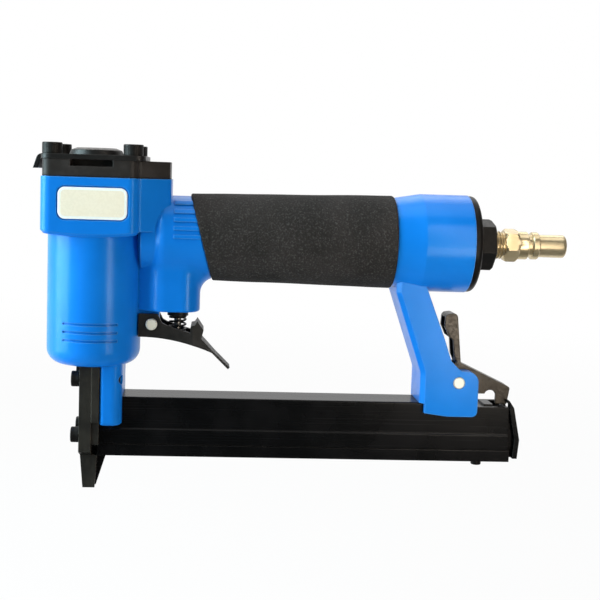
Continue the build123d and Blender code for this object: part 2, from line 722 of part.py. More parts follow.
def make_leg():
    """The leg below the flare, with the pocket and the two cheeks for the latch."""
    top_x = grip_rear + LEG_TOP_BEHIND
    rear_x = grip_rear + LEG_REAR_BEHIND
    root = handle_axis - LEG_ROOT
    under = magazine_top + SEAT
    cheek_x = knee_x + LEG_STEP
    cheek_rear = latch_x + LUG_REACH
    cheek_low = magazine_top - CHEEK_DROP
    cheek_high = latch_z + CHEEK_TOP
    corners = [
        ((top_x, root), 0),
        ((top_x, handle_axis - LEG_TOP_DROP), 0),
        ((knee_x, magazine_top + LEG_KNEE_RISE), LEG_KNEE_ROUND),
        ((knee_x, under), 0),
        ((cheek_x, under), 0),
        ((cheek_x, cheek_low + CHEEK_LIFT), 0),
        ((cheek_x + CHEEK_LIFT_LENGTH, cheek_low), 0),
        ((cheek_rear, cheek_low), CHEEK_CORNER),
        ((cheek_rear, cheek_high), CHEEK_TOP_ROUND),
        ((latch_x - LEG_WAIST_FORE + LEG_WAIST_RISE - CHEEK_TOP, cheek_high), LEG_WAIST_ROUND),
        ((latch_x - LEG_WAIST_FORE, latch_z + LEG_WAIST_RISE), 0),
        ((latch_x - LEG_BEND_FORE, latch_z + LEG_BEND_RISE), LEG_BEND_ROUND),
        ((rear_x, handle_axis - LEG_REAR_DROP), 0),
        ((rear_x, root), 0),
    ]
    leg = side_plate([point for point, _ in corners], [round_r for _, round_r in corners], LEG_HALF)
    long_edges = leg.edges().filter_by(lambda edge: abs(abs(edge.center().Y) - LEG_HALF) < SEAT)
    front_edges = long_edges.filter_by(
        lambda edge: edge.center().X < knee_x + SEAT and edge.center().Z > under + SEAT
        and edge.center().Z < root - SEAT
    )
    leg = chamfer(front_edges, LEG_EDGE)
    pocket = side_polygon([
        (latch_x - POCKET_DEPTH, latch_z + POCKET_TOP),
        (latch_x - POCKET_DEPTH, latch_z + POCKET_BEND),
        (latch_x - POCKET_LOW_DEPTH, latch_z + POCKET_LOW_BEND),
        (latch_x - POCKET_LOW_DEPTH, under),
        (latch_x + FAR, under),
        (latch_x + FAR, latch_z + POCKET_TOP),
    ], LATCH_HALF + POCKET_GAP)
    return leg - pocket - magazine_way()


def magazine_way():
    """The room that the magazine channel takes up under the leg and between the feet."""
    return block((0, FAR), across(CHANNEL_HALF + SEAT), (0, magazine_top + SEAT))


def make_feet():
    """The bridge under the barrel, and the two feet beside the magazine."""
    outline = [
        (foot_front, -NOSE_HALF), (foot_rear, -NOSE_HALF), (foot_rear, NOSE_HALF), (foot_front, NOSE_HALF),
    ]
    rounds = [FOOT_FRONT_CORNER, FOOT_CORNER, FOOT_CORNER, FOOT_FRONT_CORNER]
    feet = plan_plate(outline, rounds, magazine_top - FOOT_DROP, barrel_bottom + FOOT_ROOT)
    feet = fillet(feet.faces().sort_by(Axis.Z)[0].edges(), FOOT_EDGE)
    return feet - magazine_way()


def name_plate_block(margin, depth_low, depth_high):
    """A rounded rectangle on the near side of the head block, between two depths."""
    low = housing_top - PLATE_DROP - PLATE_HEIGHT - margin
    high = housing_top - PLATE_DROP + margin
    front = head_front + PLATE_FRONT_IN - margin
    rear = head_rear - PLATE_REAR_IN + margin
    outline = [(front, low), (rear, low), (rear, high), (front, high)]
    through = side_plate(outline, [PLATE_CORNER + margin] * 4, FAR)
    near_face = -head_half
    return through & block(across(FAR), (near_face + depth_low, near_face + depth_high), across(FAR))


cap_screw_places = {
    "front_near": (-cap_screw_x, -cap_screw_y), "front_far": (-cap_screw_x, cap_screw_y),
    "rear_near": (cap_screw_x, -cap_screw_y), "rear_far": (cap_screw_x, cap_screw_y),
}


def cap_screw_holes(radius, low, high):
    """The four holes of the cap screws."""
    holes = Part()
    for x, y in cap_screw_places.values():
        holes += upright(radius, low, high, x, y)
    return holes


def nose_screw_holes(radius, front, rear, height):
    """The two holes at one height of the nose."""
    return both_sides(lengthwise(radius, front, rear, nose_screw_y, height))


def make_housing():
    """The whole casting with its bores."""
    head = make_head_block() + make_rib(head_edge, housing_top, 0)
    casting = make_barrel() + head + make_neck_and_boss() + make_neck_ribs() + make_trigger_lug()
    casting = split(casting, bisect_by=slant, keep=Keep.BOTTOM)
    casting = casting + make_handle_tube() + make_leg() + make_feet()
    casting -= upright(bore_r, bore_bottom, housing_top + OVER)
    slot_x = across(slot_back + FLOOR_SLOT_PLAY)
    casting -= block(slot_x, across(slot_half + FLOOR_SLOT_PLAY), (barrel_bottom - OVER, bore_bottom + OVER))
    casting -= lengthwise(HANDLE_BORE_R, waist_rear, flare_rear + OVER, z=handle_axis)
    casting -= lengthwise(AIR_PASSAGE_R, 0, waist_rear + OVER, z=handle_axis)
    casting -= lengthwise(END_BORE_R, flare_rear - END_SPIGOT, flare_rear + OVER, z=handle_axis)
    casting -= upright(VALVE_R, boss_bottom - OVER, handle_axis, valve_x)
    casting -= cap_screw_holes(CAP_SCREW_R + SEAT, housing_top - CAP_SCREW_GRIP - OVER, housing_top + OVER)
    casting -= nose_screw_holes(NOSE_SCREW_R + SEAT, foot_front - OVER, foot_rear + OVER, upper_screw)
    screw_end = magazine_top + MAGAZINE_SCREW_LENGTH + OVER
    casting -= upright(MAGAZINE_SCREW_R + SEAT, magazine_top - OVER, screw_end, magazine_screw_x)
    casting -= crosswise(LATCH_PIN_R + SEAT, FAR, latch_x, latch_z)
    casting -= crosswise(TRIGGER_PIN_R + SEAT, TRIGGER_HALF, trigger_x, trigger_z)
    return casting - name_plate_block(PLATE_MARGIN, -OVER, PLATE_RECESS)


parts["housing"] = make_housing()

# Name plate, glued into its recess, with nothing on it
parts["name_plate"] = name_plate_block(0, PLATE_RECESS - PLATE_THICK, PLATE_RECESS)

# Head cap: gasket, cap with its exhaust chamber and the head valve's post, cover and screws
screw_hole_r = CAP_SCREW_R + CLEAR
gasket = make_head_plan(housing_top, cap_bottom, CAP_INSET)
gasket -= upright(bore_r, housing_top - OVER, cap_bottom + OVER)
parts["cap_gasket"] = gasket - cap_screw_holes(screw_hole_r, housing_top - OVER, cap_bottom + OVER)

cap = make_head_plan(cap_bottom, cap_top, CAP_INSET)
cap += upright(POST_R, cap_bottom - POST_LENGTH, cap_bottom + OVER)
chamber_floor = cap_top - EXHAUST_DEPTH
cap -= upright(EXHAUST_R, chamber_floor, cap_top + OVER)
cap -= block((-FAR, 0), across(EXHAUST_FRONT_HALF), (chamber_floor, cap_top + OVER))
cap -= upright(POST_BORE_R, cap_bottom - POST_LENGTH - OVER, cap_top)
port_wall = head_half - CAP_INSET - SIDE_PORT_DEPTH
cap -= both_sides(
    block(across(SIDE_PORT_HALF), (port_wall, FAR), (cap_top - SIDE_PORT_HEIGHT, cap_top + OVER))
)
parts["top_cap"] = cap - cap_screw_holes(screw_hole_r, cap_bottom - OVER, cap_top + OVER)

cover_half = head_half - COVER_INSET
cover_outline = [
    (head_front, -cover_half), (head_rear + COVER_REAR, -cover_half),
    (head_rear + COVER_REAR, cover_half), (head_front, cover_half),
]
cover = plan_plate(cover_outline, [COVER_CORNER] * 4, cap_top, cover_outside)
dome = [
    (0, 0), (DOME_R, 0), (DOME_SHOULDER_R, DOME_SHOULDER), (DOME_TOP_R, DOME_RISE), (0, DOME_RISE),
]
cover += turned_upright(dome, cover_outside)
hollow = [
    (0, -FAR), (DOME_R - DOME_SHEET, -FAR), (DOME_R - DOME_SHEET, 0),
    (DOME_SHOULDER_R - DOME_SHEET, DOME_SHOULDER - DOME_SHEET),
    (DOME_TOP_R, DOME_RISE - DOME_SHEET), (0, DOME_RISE - DOME_SHEET),
]
cover -= turned_upright(hollow, cover_outside)
lip_outline = [
    (head_front + COVER_CORNER, cover_outside),
    (head_front - LIP_BEND, cover_outside),
    (head_front - LIP_REACH, cover_outside - LIP_DROP),
    (head_front - LIP_REACH + COVER_THICK, cover_outside - LIP_DROP),
    (head_front - LIP_BEND + COVER_THICK / 2, cap_top),
    (head_front + COVER_CORNER, cap_top),
]
cover += side_plate(lip_outline, [0, LIP_BEND_ROUND, 0, 0, 0, 0], LIP_HALF)
parts["exhaust_cover"] = cover - cap_screw_holes(screw_hole_r, cap_top - OVER, cover_outside + OVER)

for place, (x, y) in cap_screw_places.items():
    head_top = cover_outside + CAP_SCREW_HEAD
    screw = upright(CAP_SCREW_HEAD_R, cover_outside, head_top, x, y)
    screw = fillet(screw.edges().group_by(Axis.Z)[-1], SCREW_EDGE)
    screw += upright(CAP_SCREW_R, housing_top - CAP_SCREW_GRIP, cover_outside + OVER, x, y)
    screw -= hex_upright(CAP_SCREW_SOCKET, head_top - CAP_SOCKET_DEPTH, head_top + OVER, x, y)
    parts[f"cap_screw_{place}"] = screw

# Cylinder: sleeve with its seal, rubber bumper
collar_top = sleeve_top - UPPER_COLLAR_DROP
seal_height = collar_top - SLEEVE_COLLAR / 2
sleeve = upright(sleeve_outer, bore_bottom, sleeve_top)
sleeve += upright(bore_r - SEAT, bore_bottom, bore_bottom + SLEEVE_COLLAR)
sleeve += upright(bore_r - SEAT, collar_top - SLEEVE_COLLAR, collar_top)
sleeve -= upright(sleeve_inner, bore_bottom - OVER, sleeve_top + OVER)
sleeve -= seal_groove(bore_r - SEAT, SEAL_R, seal_height)
for turn in (0, 60, 120):
    port = crosswise(SLEEVE_PORT_R, FAR, 0, bumper_top + SLEEVE_PORT_RISE)
    sleeve -= Rot(0, 0, turn) * port
parts["cylinder_sleeve"] = sleeve
parts["sleeve_seal"] = seal_ring(bore_r - SEAT, SEAL_R, seal_height)

bumper = ring(sleeve_inner - SEAT, slot_half + CLEAR, bore_bottom, bumper_top)
parts["bumper"] = fillet(bumper.edges().group_by(Axis.Z)[-1], BUMPER_ROUND)

# Driver: piston with its ring, the blade hung on a cross pin
piston_r = sleeve_inner - RUN
ring_low = piston_bottom + PISTON_RING_RISE
pin_height = piston_bottom + DRIVER_PIN_RISE
pin_half = piston_r - DRIVER_PIN_UNDER
blade_half = BLADE_WIDTH / 2
blade_x = across(BLADE_THICK / 2)
blade_low = stroke + STROKE_RESERVE
piston = upright(piston_r, piston_bottom, piston_bottom + PISTON_HEIGHT)
piston -= block(
    across(BLADE_THICK / 2 + SEAT), across(blade_half + SEAT), (piston_bottom - OVER, blade_top + SEAT)
)
piston -= ring(
    piston_r + OVER, piston_r - RING_DEPTH - SEAT, ring_low - SEAT, ring_low + RING_HEIGHT + SEAT
)
piston -= lengthwise(DRIVER_PIN_R + SEAT, -pin_half - SEAT, pin_half + SEAT, z=pin_height)
parts["piston"] = piston
parts["piston_ring"] = ring(piston_r, piston_r - RING_DEPTH, ring_low, ring_low + RING_HEIGHT)
blade = block(blade_x, across(blade_half), (blade_low, blade_top))
parts["driver_blade"] = blade - lengthwise(DRIVER_PIN_R + SEAT, -OVER, OVER, z=pin_height)
parts["driver_pin"] = lengthwise(DRIVER_PIN_R, -pin_half, pin_half, z=pin_height)

# Head valve: a disc on the cap's post above the sleeve, pushed down by its spring
disc_r = bore_r - RUN
hub_r = POST_R + VALVE_HUB_WALL
valve = upright(disc_r, disc_low, disc_top) + upright(hub_r, disc_low, disc_top + VALVE_HUB)
valve -= upright(POST_R + RUN, disc_low - OVER, disc_top + VALVE_HUB + OVER)
disc_middle = (disc_low + disc_top) / 2
parts["head_valve"] = valve - seal_groove(disc_r, SEAL_R, disc_middle)
parts["head_valve_seal"] = seal_ring(disc_r, SEAL_R, disc_middle)
valve_spring_length = cap_bottom - disc_top - 2 * SEAT
parts["head_valve_spring"] = Pos(0, 0, disc_top + SEAT) * coil(
    "head_valve_spring", bore_r - VALVE_SPRING_IN, VALVE_WIRE_R, valve_spring_length, VALVE_SPRING_TURNS
)

# Rubber grip over the handle tube, cut at a slant in front
grip_start = grip_front - FLARE_R
grip = turned_handle([
    (grip_start, grip_radius(grip_start) - GRIP_WALL + SEAT), (grip_start, grip_radius(grip_start)),
    (grip_rear - SEAT, GRIP_REAR_R), (grip_rear - SEAT, grip_radius(grip_rear) - GRIP_WALL + SEAT),
])
grip = split(grip, bisect_by=slant.offset(SEAT), keep=Keep.TOP)
outer_edges = grip.edges().filter_by(
    lambda edge: edge.geom_type != GeomType.LINE and edge.length > 2 * math.pi * (GRIP_FRONT_R - GRIP_EDGE)
)
parts["grip_sleeve"] = fillet(outer_edges, GRIP_EDGE)

# End cap screwed into the flare, and the air plug in it
spigot_front = flare_rear - END_SPIGOT
end_seal_x = flare_rear - END_SPIGOT / 2
to_handle = Pos(end_seal_x, 0, handle_axis) * Rot(0, 90, 0)
flange = lengthwise(FLARE_R - END_FLANGE_UNDER, flare_rear, end_rear, z=handle_axis)
flange = fillet(flange.edges().sort_by(Axis.X)[-1], END_FLANGE_ROUND)
end_cap = flange + lengthwise(END_BORE_R - SEAT, spigot_front, flare_rear + OVER, z=handle_axis)
end_cap += hex_lengthwise(END_HEX, end_rear - OVER, hex_rear, HEX_TURN)
end_cap -= lengthwise(THREAD_R, hex_rear - THREAD_DEPTH, hex_rear + OVER, z=handle_axis)
end_cap -= lengthwise(END_PASSAGE_R, spigot_front - OVER, hex_rear, z=handle_axis)
parts["end_cap"] = end_cap - to_handle * seal_groove(END_BORE_R - SEAT, SEAL_R, 0)
parts["end_cap_seal"] = to_handle * seal_ring(END_BORE_R - SEAT, SEAL_R, 0)

plug_hex = hex_rear + PLUG_NECK
plug_collar = plug_hex + PLUG_HEX_LENGTH
plug_groove = plug_collar + PLUG_COLLAR
plug_ring = plug_groove + PLUG_GROOVE
plug_nose = plug_ring + PLUG_RING
plug_end = plug_nose + PLUG_NOSE
thread_end = hex_rear - THREAD_DEPTH + THREAD_RESERVE
plug = lengthwise(THREAD_R - SEAT, thread_end, plug_hex + OVER, z=handle_axis)
plug += hex_lengthwise(PLUG_HEX, plug_hex, plug_collar, HEX_TURN)
plug += turned_handle([
    (plug_collar - OVER, 0), (plug_collar - OVER, PLUG_COLLAR_R), (plug_groove, PLUG_COLLAR_R),
    (plug_groove, PLUG_GROOVE_R), (plug_ring, PLUG_GROOVE_R), (plug_ring, PLUG_RING_R),
    (plug_nose, PLUG_RING_R), (plug_nose, PLUG_NOSE_R), (plug_end - PLUG_NOSE_EDGE, PLUG_NOSE_R),
    (plug_end, PLUG_NOSE_R - PLUG_NOSE_EDGE), (plug_end, 0),
])
parts["air_plug"] = plug - lengthwise(PLUG_BORE_R, thread_end - OVER, plug_end + OVER, z=handle_axis)

# Nose: front plate with the driver slot, back plate with the window for the staples, four screws
tip_front = slot_front - TIP_FRONT_WALL
shoulder_top = TIP_LENGTH + NOSE_SHOULDER
tip_side = [
    (plate_front, barrel_bottom), (plate_front, shoulder_top), (tip_front, 0),
    (slot_back + TIP_REAR_REACH, 0), (tip_rear, TIP_LENGTH), (slot_back, TIP_LENGTH),
    (slot_back, barrel_bottom),
]
tip_face = mirrored([
    (NOSE_HALF, barrel_bottom), (NOSE_HALF, shoulder_top), (tip_half, TIP_LENGTH), (tip_half, 0),
])
front = side_polygon(tip_side, NOSE_HALF) & front_plate(tip_face, plate_front - OVER, tip_rear + OVER)
front -= block((slot_front, FAR), across(slot_half), (-OVER, barrel_bottom + OVER))
back_low = channel_low + BACK_PLATE_RISE
back = block((slot_back, plate_back), across(NOSE_HALF), (back_low, barrel_bottom))
leg_y = (nose_screw_y - BACK_PLATE_LEG_HALF, nose_screw_y + BACK_PLATE_LEG_HALF)
back += both_sides(block((slot_back, plate_back), leg_y, (channel_low, back_low + OVER)))
back -= block((0, FAR), across(channel_inner), (0, roof))
for height, rear in ((upper_screw, foot_rear - OVER), (lower_screw, plate_back)):
    front -= nose_screw_holes(NOSE_SCREW_R + SEAT, plate_front - OVER, FAR, height)
    back -= nose_screw_holes(NOSE_SCREW_R + SEAT, 0, FAR, height)
    level = "upper" if height == upper_screw else "lower"
    for side, y in (("near", -nose_screw_y), ("far", nose_screw_y)):
        head_end = plate_front - NOSE_SCREW_HEAD
        screw = lengthwise(NOSE_SCREW_HEAD_R, head_end, plate_front, y, height)
        screw = fillet(screw.edges().group_by(Axis.X)[0], SCREW_EDGE)
        screw += lengthwise(NOSE_SCREW_R, plate_front - OVER, rear, y, height)
        socket = hex_upright(NOSE_SCREW_SOCKET, -OVER, NOSE_SOCKET_DEPTH, 0, 0)
        screw -= Pos(head_end, y, height) * Rot(0, 90, 0) * socket
        parts[f"nose_screw_{level}_{side}"] = screw
parts["nose_front_plate"] = front
parts["nose_back_plate"] = back

# Trigger valve in the boss: body with two outer seals, stem with its seal, and the spring
to_valve = Pos(valve_x, 0, boss_bottom)
valve_body = upright(VALVE_R - SEAT, 0, VALVE_LENGTH) + upright(VALVE_COLLAR_R, -VALVE_COLLAR, OVER)
valve_body -= upright(STEM_R + RUN, -VALVE_COLLAR - OVER, VALVE_LENGTH)
valve_body -= upright(STEM_HEAD_R + RUN, VALVE_CHAMBER_RISE, VALVE_LENGTH + OVER)
for level, height in (("lower", VALVE_SEAL_LOW), ("upper", VALVE_SEAL_HIGH)):
    valve_body -= seal_groove(VALVE_R - SEAT, VALVE_SEAL_R, height)
    parts[f"valve_seal_{level}"] = to_valve * seal_ring(VALVE_R - SEAT, VALVE_SEAL_R, height)
stem_seal_ring = STEM_R + RUN + STEM_SEAL_R
valve_body -= ring(
    stem_seal_ring + STEM_SEAL_R + SEAT, STEM_R,
    STEM_SEAL_RISE - STEM_SEAL_R - SEAT, STEM_SEAL_RISE + STEM_SEAL_R + SEAT,
)
parts["valve_body"] = to_valve * valve_body
parts["stem_seal"] = to_valve * Pos(0, 0, STEM_SEAL_RISE) * Torus(stem_seal_ring, STEM_SEAL_R)
pad_height = trigger_z - STEM_PAD_DROP
stem = upright(STEM_R, pad_height + CLEAR - boss_bottom, STEM_RISE)
stem += upright(STEM_HEAD_R, STEM_RISE - STEM_HEAD, STEM_RISE)
parts["valve_stem"] = to_valve * stem
trigger_spring_length = boss_bottom - VALVE_COLLAR - pad_height - 2 * SEAT
parts["trigger_spring"] = Pos(valve_x, 0, pad_height + SEAT) * coil(
    "trigger_spring", TRIGGER_SPRING_R, TRIGGER_WIRE_R, trigger_spring_length, TRIGGER_SPRING_TURNS
)

# Trigger: a channel that straddles the lug, with a solid tail, and its pin


def from_trigger_pin(points):
    """Points of the trigger's outline, moved from its pin to their place."""
    return [(trigger_x + x, trigger_z + z) for x, z in points]


def trigger_underside(rise):
    """The curved underside of the trigger, or the same curve a little higher."""
    return ThreePointArc(*from_trigger_pin([
        (-TRIGGER_FRONT, rise - TRIGGER_FRONT_DROP),
        (VALVE_ARM, rise - TRIGGER_UNDER),
        (TRIGGER_BEND, rise - TRIGGER_BEND_DROP),
    ]))


trigger_bend = [(TRIGGER_BEND, -TRIGGER_BEND_DROP)]
trigger_start = [(-TRIGGER_FRONT, -TRIGGER_FRONT_DROP)]
upper_line = trigger_bend + TRIGGER_TAIL + TRIGGER_STOP + TRIGGER_RIM + trigger_start
solid = side_shape(trigger_underside(0) + Polyline(*from_trigger_pin(upper_line)), TRIGGER_HALF)
solid -= upright(BARREL_R + TRIGGER_BARREL_GAP, 0, boss_bottom)
taper_x = trigger_x + TRIGGER_TAPER
tail_x = trigger_x + TRIGGER_TAIL[1][0] + OVER
trigger_plan = [
    (0, -TRIGGER_HALF), (taper_x, -TRIGGER_HALF), (tail_x, -TRIGGER_TAIL_HALF),
    (tail_x, TRIGGER_TAIL_HALF), (taper_x, TRIGGER_HALF), (0, TRIGGER_HALF),
]
solid &= plan_plate(trigger_plan, [0] * len(trigger_plan), 0, boss_bottom)
hollow_line = Polyline(*from_trigger_pin([
    (TRIGGER_BEND, TRIGGER_FLOOR - TRIGGER_BEND_DROP), (TRIGGER_BEND, FAR), (-FAR, FAR),
    (-FAR, TRIGGER_FLOOR - TRIGGER_FRONT_DROP), (-TRIGGER_FRONT, TRIGGER_FLOOR - TRIGGER_FRONT_DROP),
]))
hollow = side_shape(trigger_underside(TRIGGER_FLOOR) + hollow_line, TRIGGER_HALF - TRIGGER_WALL)
hollow &= block((-FAR, trigger_x + TRIGGER_POCKET), across(FAR), across(FAR))
pad = upright(STEM_PAD_R, 0, pad_height, valve_x) & solid
trigger = solid - hollow + pad
trigger -= crosswise(TRIGGER_PIN_R + RUN, FAR, trigger_x, trigger_z)
parts["trigger"] = trigger
pin = crosswise(TRIGGER_PIN_R, TRIGGER_HALF + TRIGGER_PIN_HEAD, trigger_x, trigger_z)
parts["trigger_pin"] = chamfer(pin.edges().filter_by(GeomType.CIRCLE), PIN_EDGE)

# Magazine channel, held to the leg by a countersunk screw
channel_line = mirrored([
    (band_half, channel_low), (band_half, band_top - BAND_STEP), (CHANNEL_HALF, band_top),
    (CHANNEL_HALF, magazine_top),
])
room_line = mirrored([
    (band_inner, channel_low - OVER), (band_inner, band_top - BAND_STEP), (channel_inner, band_top),
    (channel_inner, roof),
])
channel = front_plate(channel_line, plate_back, channel_rear)
top_edges = channel.faces().sort_by(Axis.Z)[-1].edges().filter_by(Axis.X)
channel = fillet(top_edges, CHANNEL_EDGE)
channel -= front_plate(room_line, plate_back - OVER, channel_rear + OVER)
channel -= block((channel_rear - ROOF_OPEN, FAR), across(FAR), (roof, FAR))
head_cone = MAGAZINE_SCREW_HEAD_R - MAGAZINE_SCREW_R
shank_top = magazine_top + MAGAZINE_SCREW_LENGTH


def countersunk(extra):
    """The screw below the leg, or the hole for it with a little extra radius."""
    head = Pos(magazine_screw_x, 0, roof) * Cone(
        MAGAZINE_SCREW_HEAD_R + extra, MAGAZINE_SCREW_R + extra, head_cone,
        align=(Align.CENTER, Align.CENTER, Align.MIN),
    )
    return head + upright(MAGAZINE_SCREW_R + extra, roof, shank_top, magazine_screw_x)


parts["magazine_channel"] = channel - countersunk(SEAT)
parts["magazine_screw"] = countersunk(0)

# Magazine slide: cover, staple rail, tongue at the nose, rear block with its catch, end plate and rod
cover_inner = band_half - COVER_SHEET
bend_x = channel_rear + END_PLATE_BEND
bend_z = magazine_top - END_PLATE_BEND_DROP
bulge_x = channel_rear + END_PLATE_BULGE
bulge_z = slide_bottom + END_PLATE_BULGE_RISE
inside_x = channel_rear + CLEAR
lip_low = magazine_top + CLEAR
plate_foot = bulge_x - END_PLATE_FOOT
slide_cover = front_plate(mirrored([
    (band_half, slide_bottom), (band_half, cover_top), (cover_inner, cover_top), (cover_inner, slide_floor),
]), cover_front, channel_rear + COVER_BEHIND)
slide_screw_hole = upright(SLIDE_SCREW_R + SEAT, 0, slide_floor + SLIDE_SCREW_GRIP + OVER, slide_screw_x)
parts["slide_cover"] = slide_cover - slide_screw_hole

rail_inner = RAIL_HALF - RAIL_SHEET
rail = front_plate(mirrored([
    (RAIL_HALF, slide_floor), (RAIL_HALF, rail_top), (rail_inner, rail_top),
    (rail_inner, slide_floor + RAIL_SHEET),
]), rail_front, block_front)
plug_x = (rail_front, rail_front + RAIL_PLUG)
rail += block(plug_x, across(RAIL_HALF), (slide_floor, rod_axis + RAIL_PLUG_RISE))
parts["slide_rail"] = rail - lengthwise(ROD_R + SEAT, rail_front + OVER, FAR, z=rod_axis)

tongue_front = slot_back + RUN
tongue_foot = tongue_front + TONGUE_FOOT
tongue_half = slot_half - CLEAR
tongue = side_polygon([
    (tongue_front, TONGUE_TOP_GAP), (tongue_foot, TONGUE_TOP_GAP), (cover_front, slide_bottom),
    (cover_front, slide_floor), (tongue_front, slide_floor),
], tongue_half)
parts["slide_tongue"] = tongue + side_polygon([
    (tongue_front + RUN, TONGUE_TOP_GAP), (tongue_foot + GUSSET_FOOT, TONGUE_TOP_GAP),
    (cover_front + GUSSET_REACH, slide_bottom), (tongue_front + RUN, slide_bottom),
], GUSSET_HALF)

block_half = channel_inner - CLEAR
block_top = roof - CLEAR
notch_z = roof - BLOCK_NOTCH
catch_rear = tooth_front - CATCH_GAP
inner_bulge = (bulge_x - END_PLATE_SHEET, bulge_z)
inner_foot = (plate_foot - END_PLATE_SHEET, slide_floor)
inner_bend = (inside_x, bend_z - END_PLATE_LIP)
rear_block = side_polygon([
    (block_front, slide_floor), inner_foot, inner_bulge, inner_bend, (inside_x, notch_z),
    (catch_rear, notch_z), (catch_rear, block_top), (block_front, block_top),
], block_half) & block((0, FAR), across(FAR), (0, block_top))
catch_x = (catch_rear - CATCH_LENGTH, catch_rear)
rear_block += block(catch_x, across(LATCH_HALF), (notch_z, tooth_tip - CLEAR))
rear_block -= lengthwise(ROD_R + SEAT, 0, block_front + ROD_GRIP + OVER, z=rod_axis)
parts["slide_rear_block"] = rear_block - slide_screw_hole

end_plate = side_polygon([
    (plate_foot, slide_floor), (bulge_x, bulge_z), (bend_x, bend_z),
    (inside_x - END_PLATE_LIP / 2, lip_low + END_PLATE_LIP_SHEET),
    (inside_x - END_PLATE_LIP, lip_low + END_PLATE_LIP_SHEET), (inside_x - END_PLATE_LIP, lip_low),
    (inside_x, lip_low), inner_bend, inner_bulge, inner_foot,
], band_half)
end_notch = block((0, FAR), across(LATCH_HALF + POCKET_GAP), (magazine_top - END_NOTCH_DROP, FAR))
parts["slide_end_plate"] = end_plate - end_notch

slide_screw_low = slide_bottom - SLIDE_SCREW_HEAD
screw = upright(SLIDE_SCREW_HEAD_R, slide_screw_low, slide_bottom, slide_screw_x)
screw = fillet(screw.edges().group_by(Axis.Z)[0], SCREW_EDGE)
screw += upright(SLIDE_SCREW_R, slide_bottom - OVER, slide_floor + SLIDE_SCREW_GRIP, slide_screw_x)
socket_top = slide_screw_low + SLIDE_SCREW_HEAD / 2
parts["slide_screw"] = screw - hex_upright(SLIDE_SCREW_SOCKET, 0, socket_top, slide_screw_x, 0)
parts["pusher_rod"] = lengthwise(ROD_R, rail_front + OVER + SEAT, block_front + ROD_GRIP, z=rod_axis)

# Pusher: a saddle on the rail, run along the rod by its long spring
pusher_front = slot_back + BLADE_PLAY + CLEAR
pusher_rear = pusher_front + PUSHER_LENGTH
saddle_inner = RAIL_HALF + CLEAR
pusher = front_plate(mirrored([
    (block_half, block_top - PUSHER_SKIRT), (block_half, block_top),
]), pusher_front, pusher_rear)
pusher -= block((0, FAR), across(saddle_inner), (0, rail_top + CLEAR))
web_z = (rod_axis - PUSHER_WEB_DROP, block_top)
pusher += block((pusher_rear - PUSHER_WEB, pusher_rear), across(rail_inner - CLEAR), web_z)
parts["pusher"] = pusher - lengthwise(ROD_R + RUN, 0, FAR, z=rod_axis)
pusher_spring_length = block_front - pusher_rear - 2 * SEAT
pusher_spring = coil(
    "pusher_spring", PUSHER_SPRING_R, PUSHER_WIRE_R, pusher_spring_length, PUSHER_SPRING_TURNS
)
parts["pusher_spring"] = Pos(pusher_rear + SEAT, 0, rod_axis) * Rot(0, 90, 0) * pusher_spring

# Latch: a folded lever with thumb pad and hook, its pin and its spring
hook = [
    (TOOTH_BEHIND + TOOTH_LENGTH, -TOOTH_DROP), (TOOTH_BEHIND, -TOOTH_DROP),
    (TOOTH_BEHIND, -LATCH_BELLY_DROP),
]
latch_points = LATCH_PAD + LATCH_BACK + hook + LATCH_BELLY + LATCH_WAIST
back_rounds = [0] * (len(LATCH_BACK) - 1) + [LATCH_HOOK_ROUND]
latch_rounds = [LATCH_PAD_ROUND] * len(LATCH_PAD) + back_rounds
latch_rounds += [0] * (len(latch_points) - len(latch_rounds))


def latch_shape(half):
    """The lever's outline with its round hub and the round notch in front of the hook."""
    outline = [(latch_x + x, latch_z + z) for x, z in latch_points]
    shape = side_plate(outline, latch_rounds, half) + crosswise(LATCH_HUB_R, half, latch_x, latch_z)
    notch_x = latch_x + LATCH_NOTCH_BEHIND
    return shape - crosswise(LATCH_NOTCH_R, FAR, notch_x, latch_z - LATCH_NOTCH_DROP)


inside = Pos(-LATCH_SHEET, 0, -LATCH_SHEET) * latch_shape(LATCH_HALF - LATCH_SHEET)
far_side = Pos(-LATCH_SHEET, LATCH_HALF, -LATCH_SHEET) * latch_shape(LATCH_HALF)
far_side &= block((latch_x + LATCH_FAR_PLATE, FAR), (0, FAR), (0, FAR))
lever = latch_shape(LATCH_HALF) - inside - far_side
parts["latch_lever"] = lever - crosswise(LATCH_PIN_R + RUN, FAR, latch_x, latch_z)
pin = crosswise(LATCH_PIN_R, LEG_HALF, latch_x, latch_z)
parts["latch_pin"] = chamfer(pin.edges().filter_by(GeomType.CIRCLE), PIN_EDGE)
latch_spring = coil(
    "latch_spring", LATCH_SPRING_R, LATCH_WIRE_R, LATCH_SPRING_LENGTH, LATCH_SPRING_TURNS
)
parts["latch_spring"] = Pos(latch_x, LATCH_SPRING_LENGTH / 2, latch_z) * Rot(90, 0, 0) * latch_spring

os.makedirs("parts", exist_ok=True)
for name, shape in parts.items():
    export_step(shape, f"parts/{name}.step")
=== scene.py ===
import math

import bpy
import numpy as np
from mathutils import Matrix, Vector


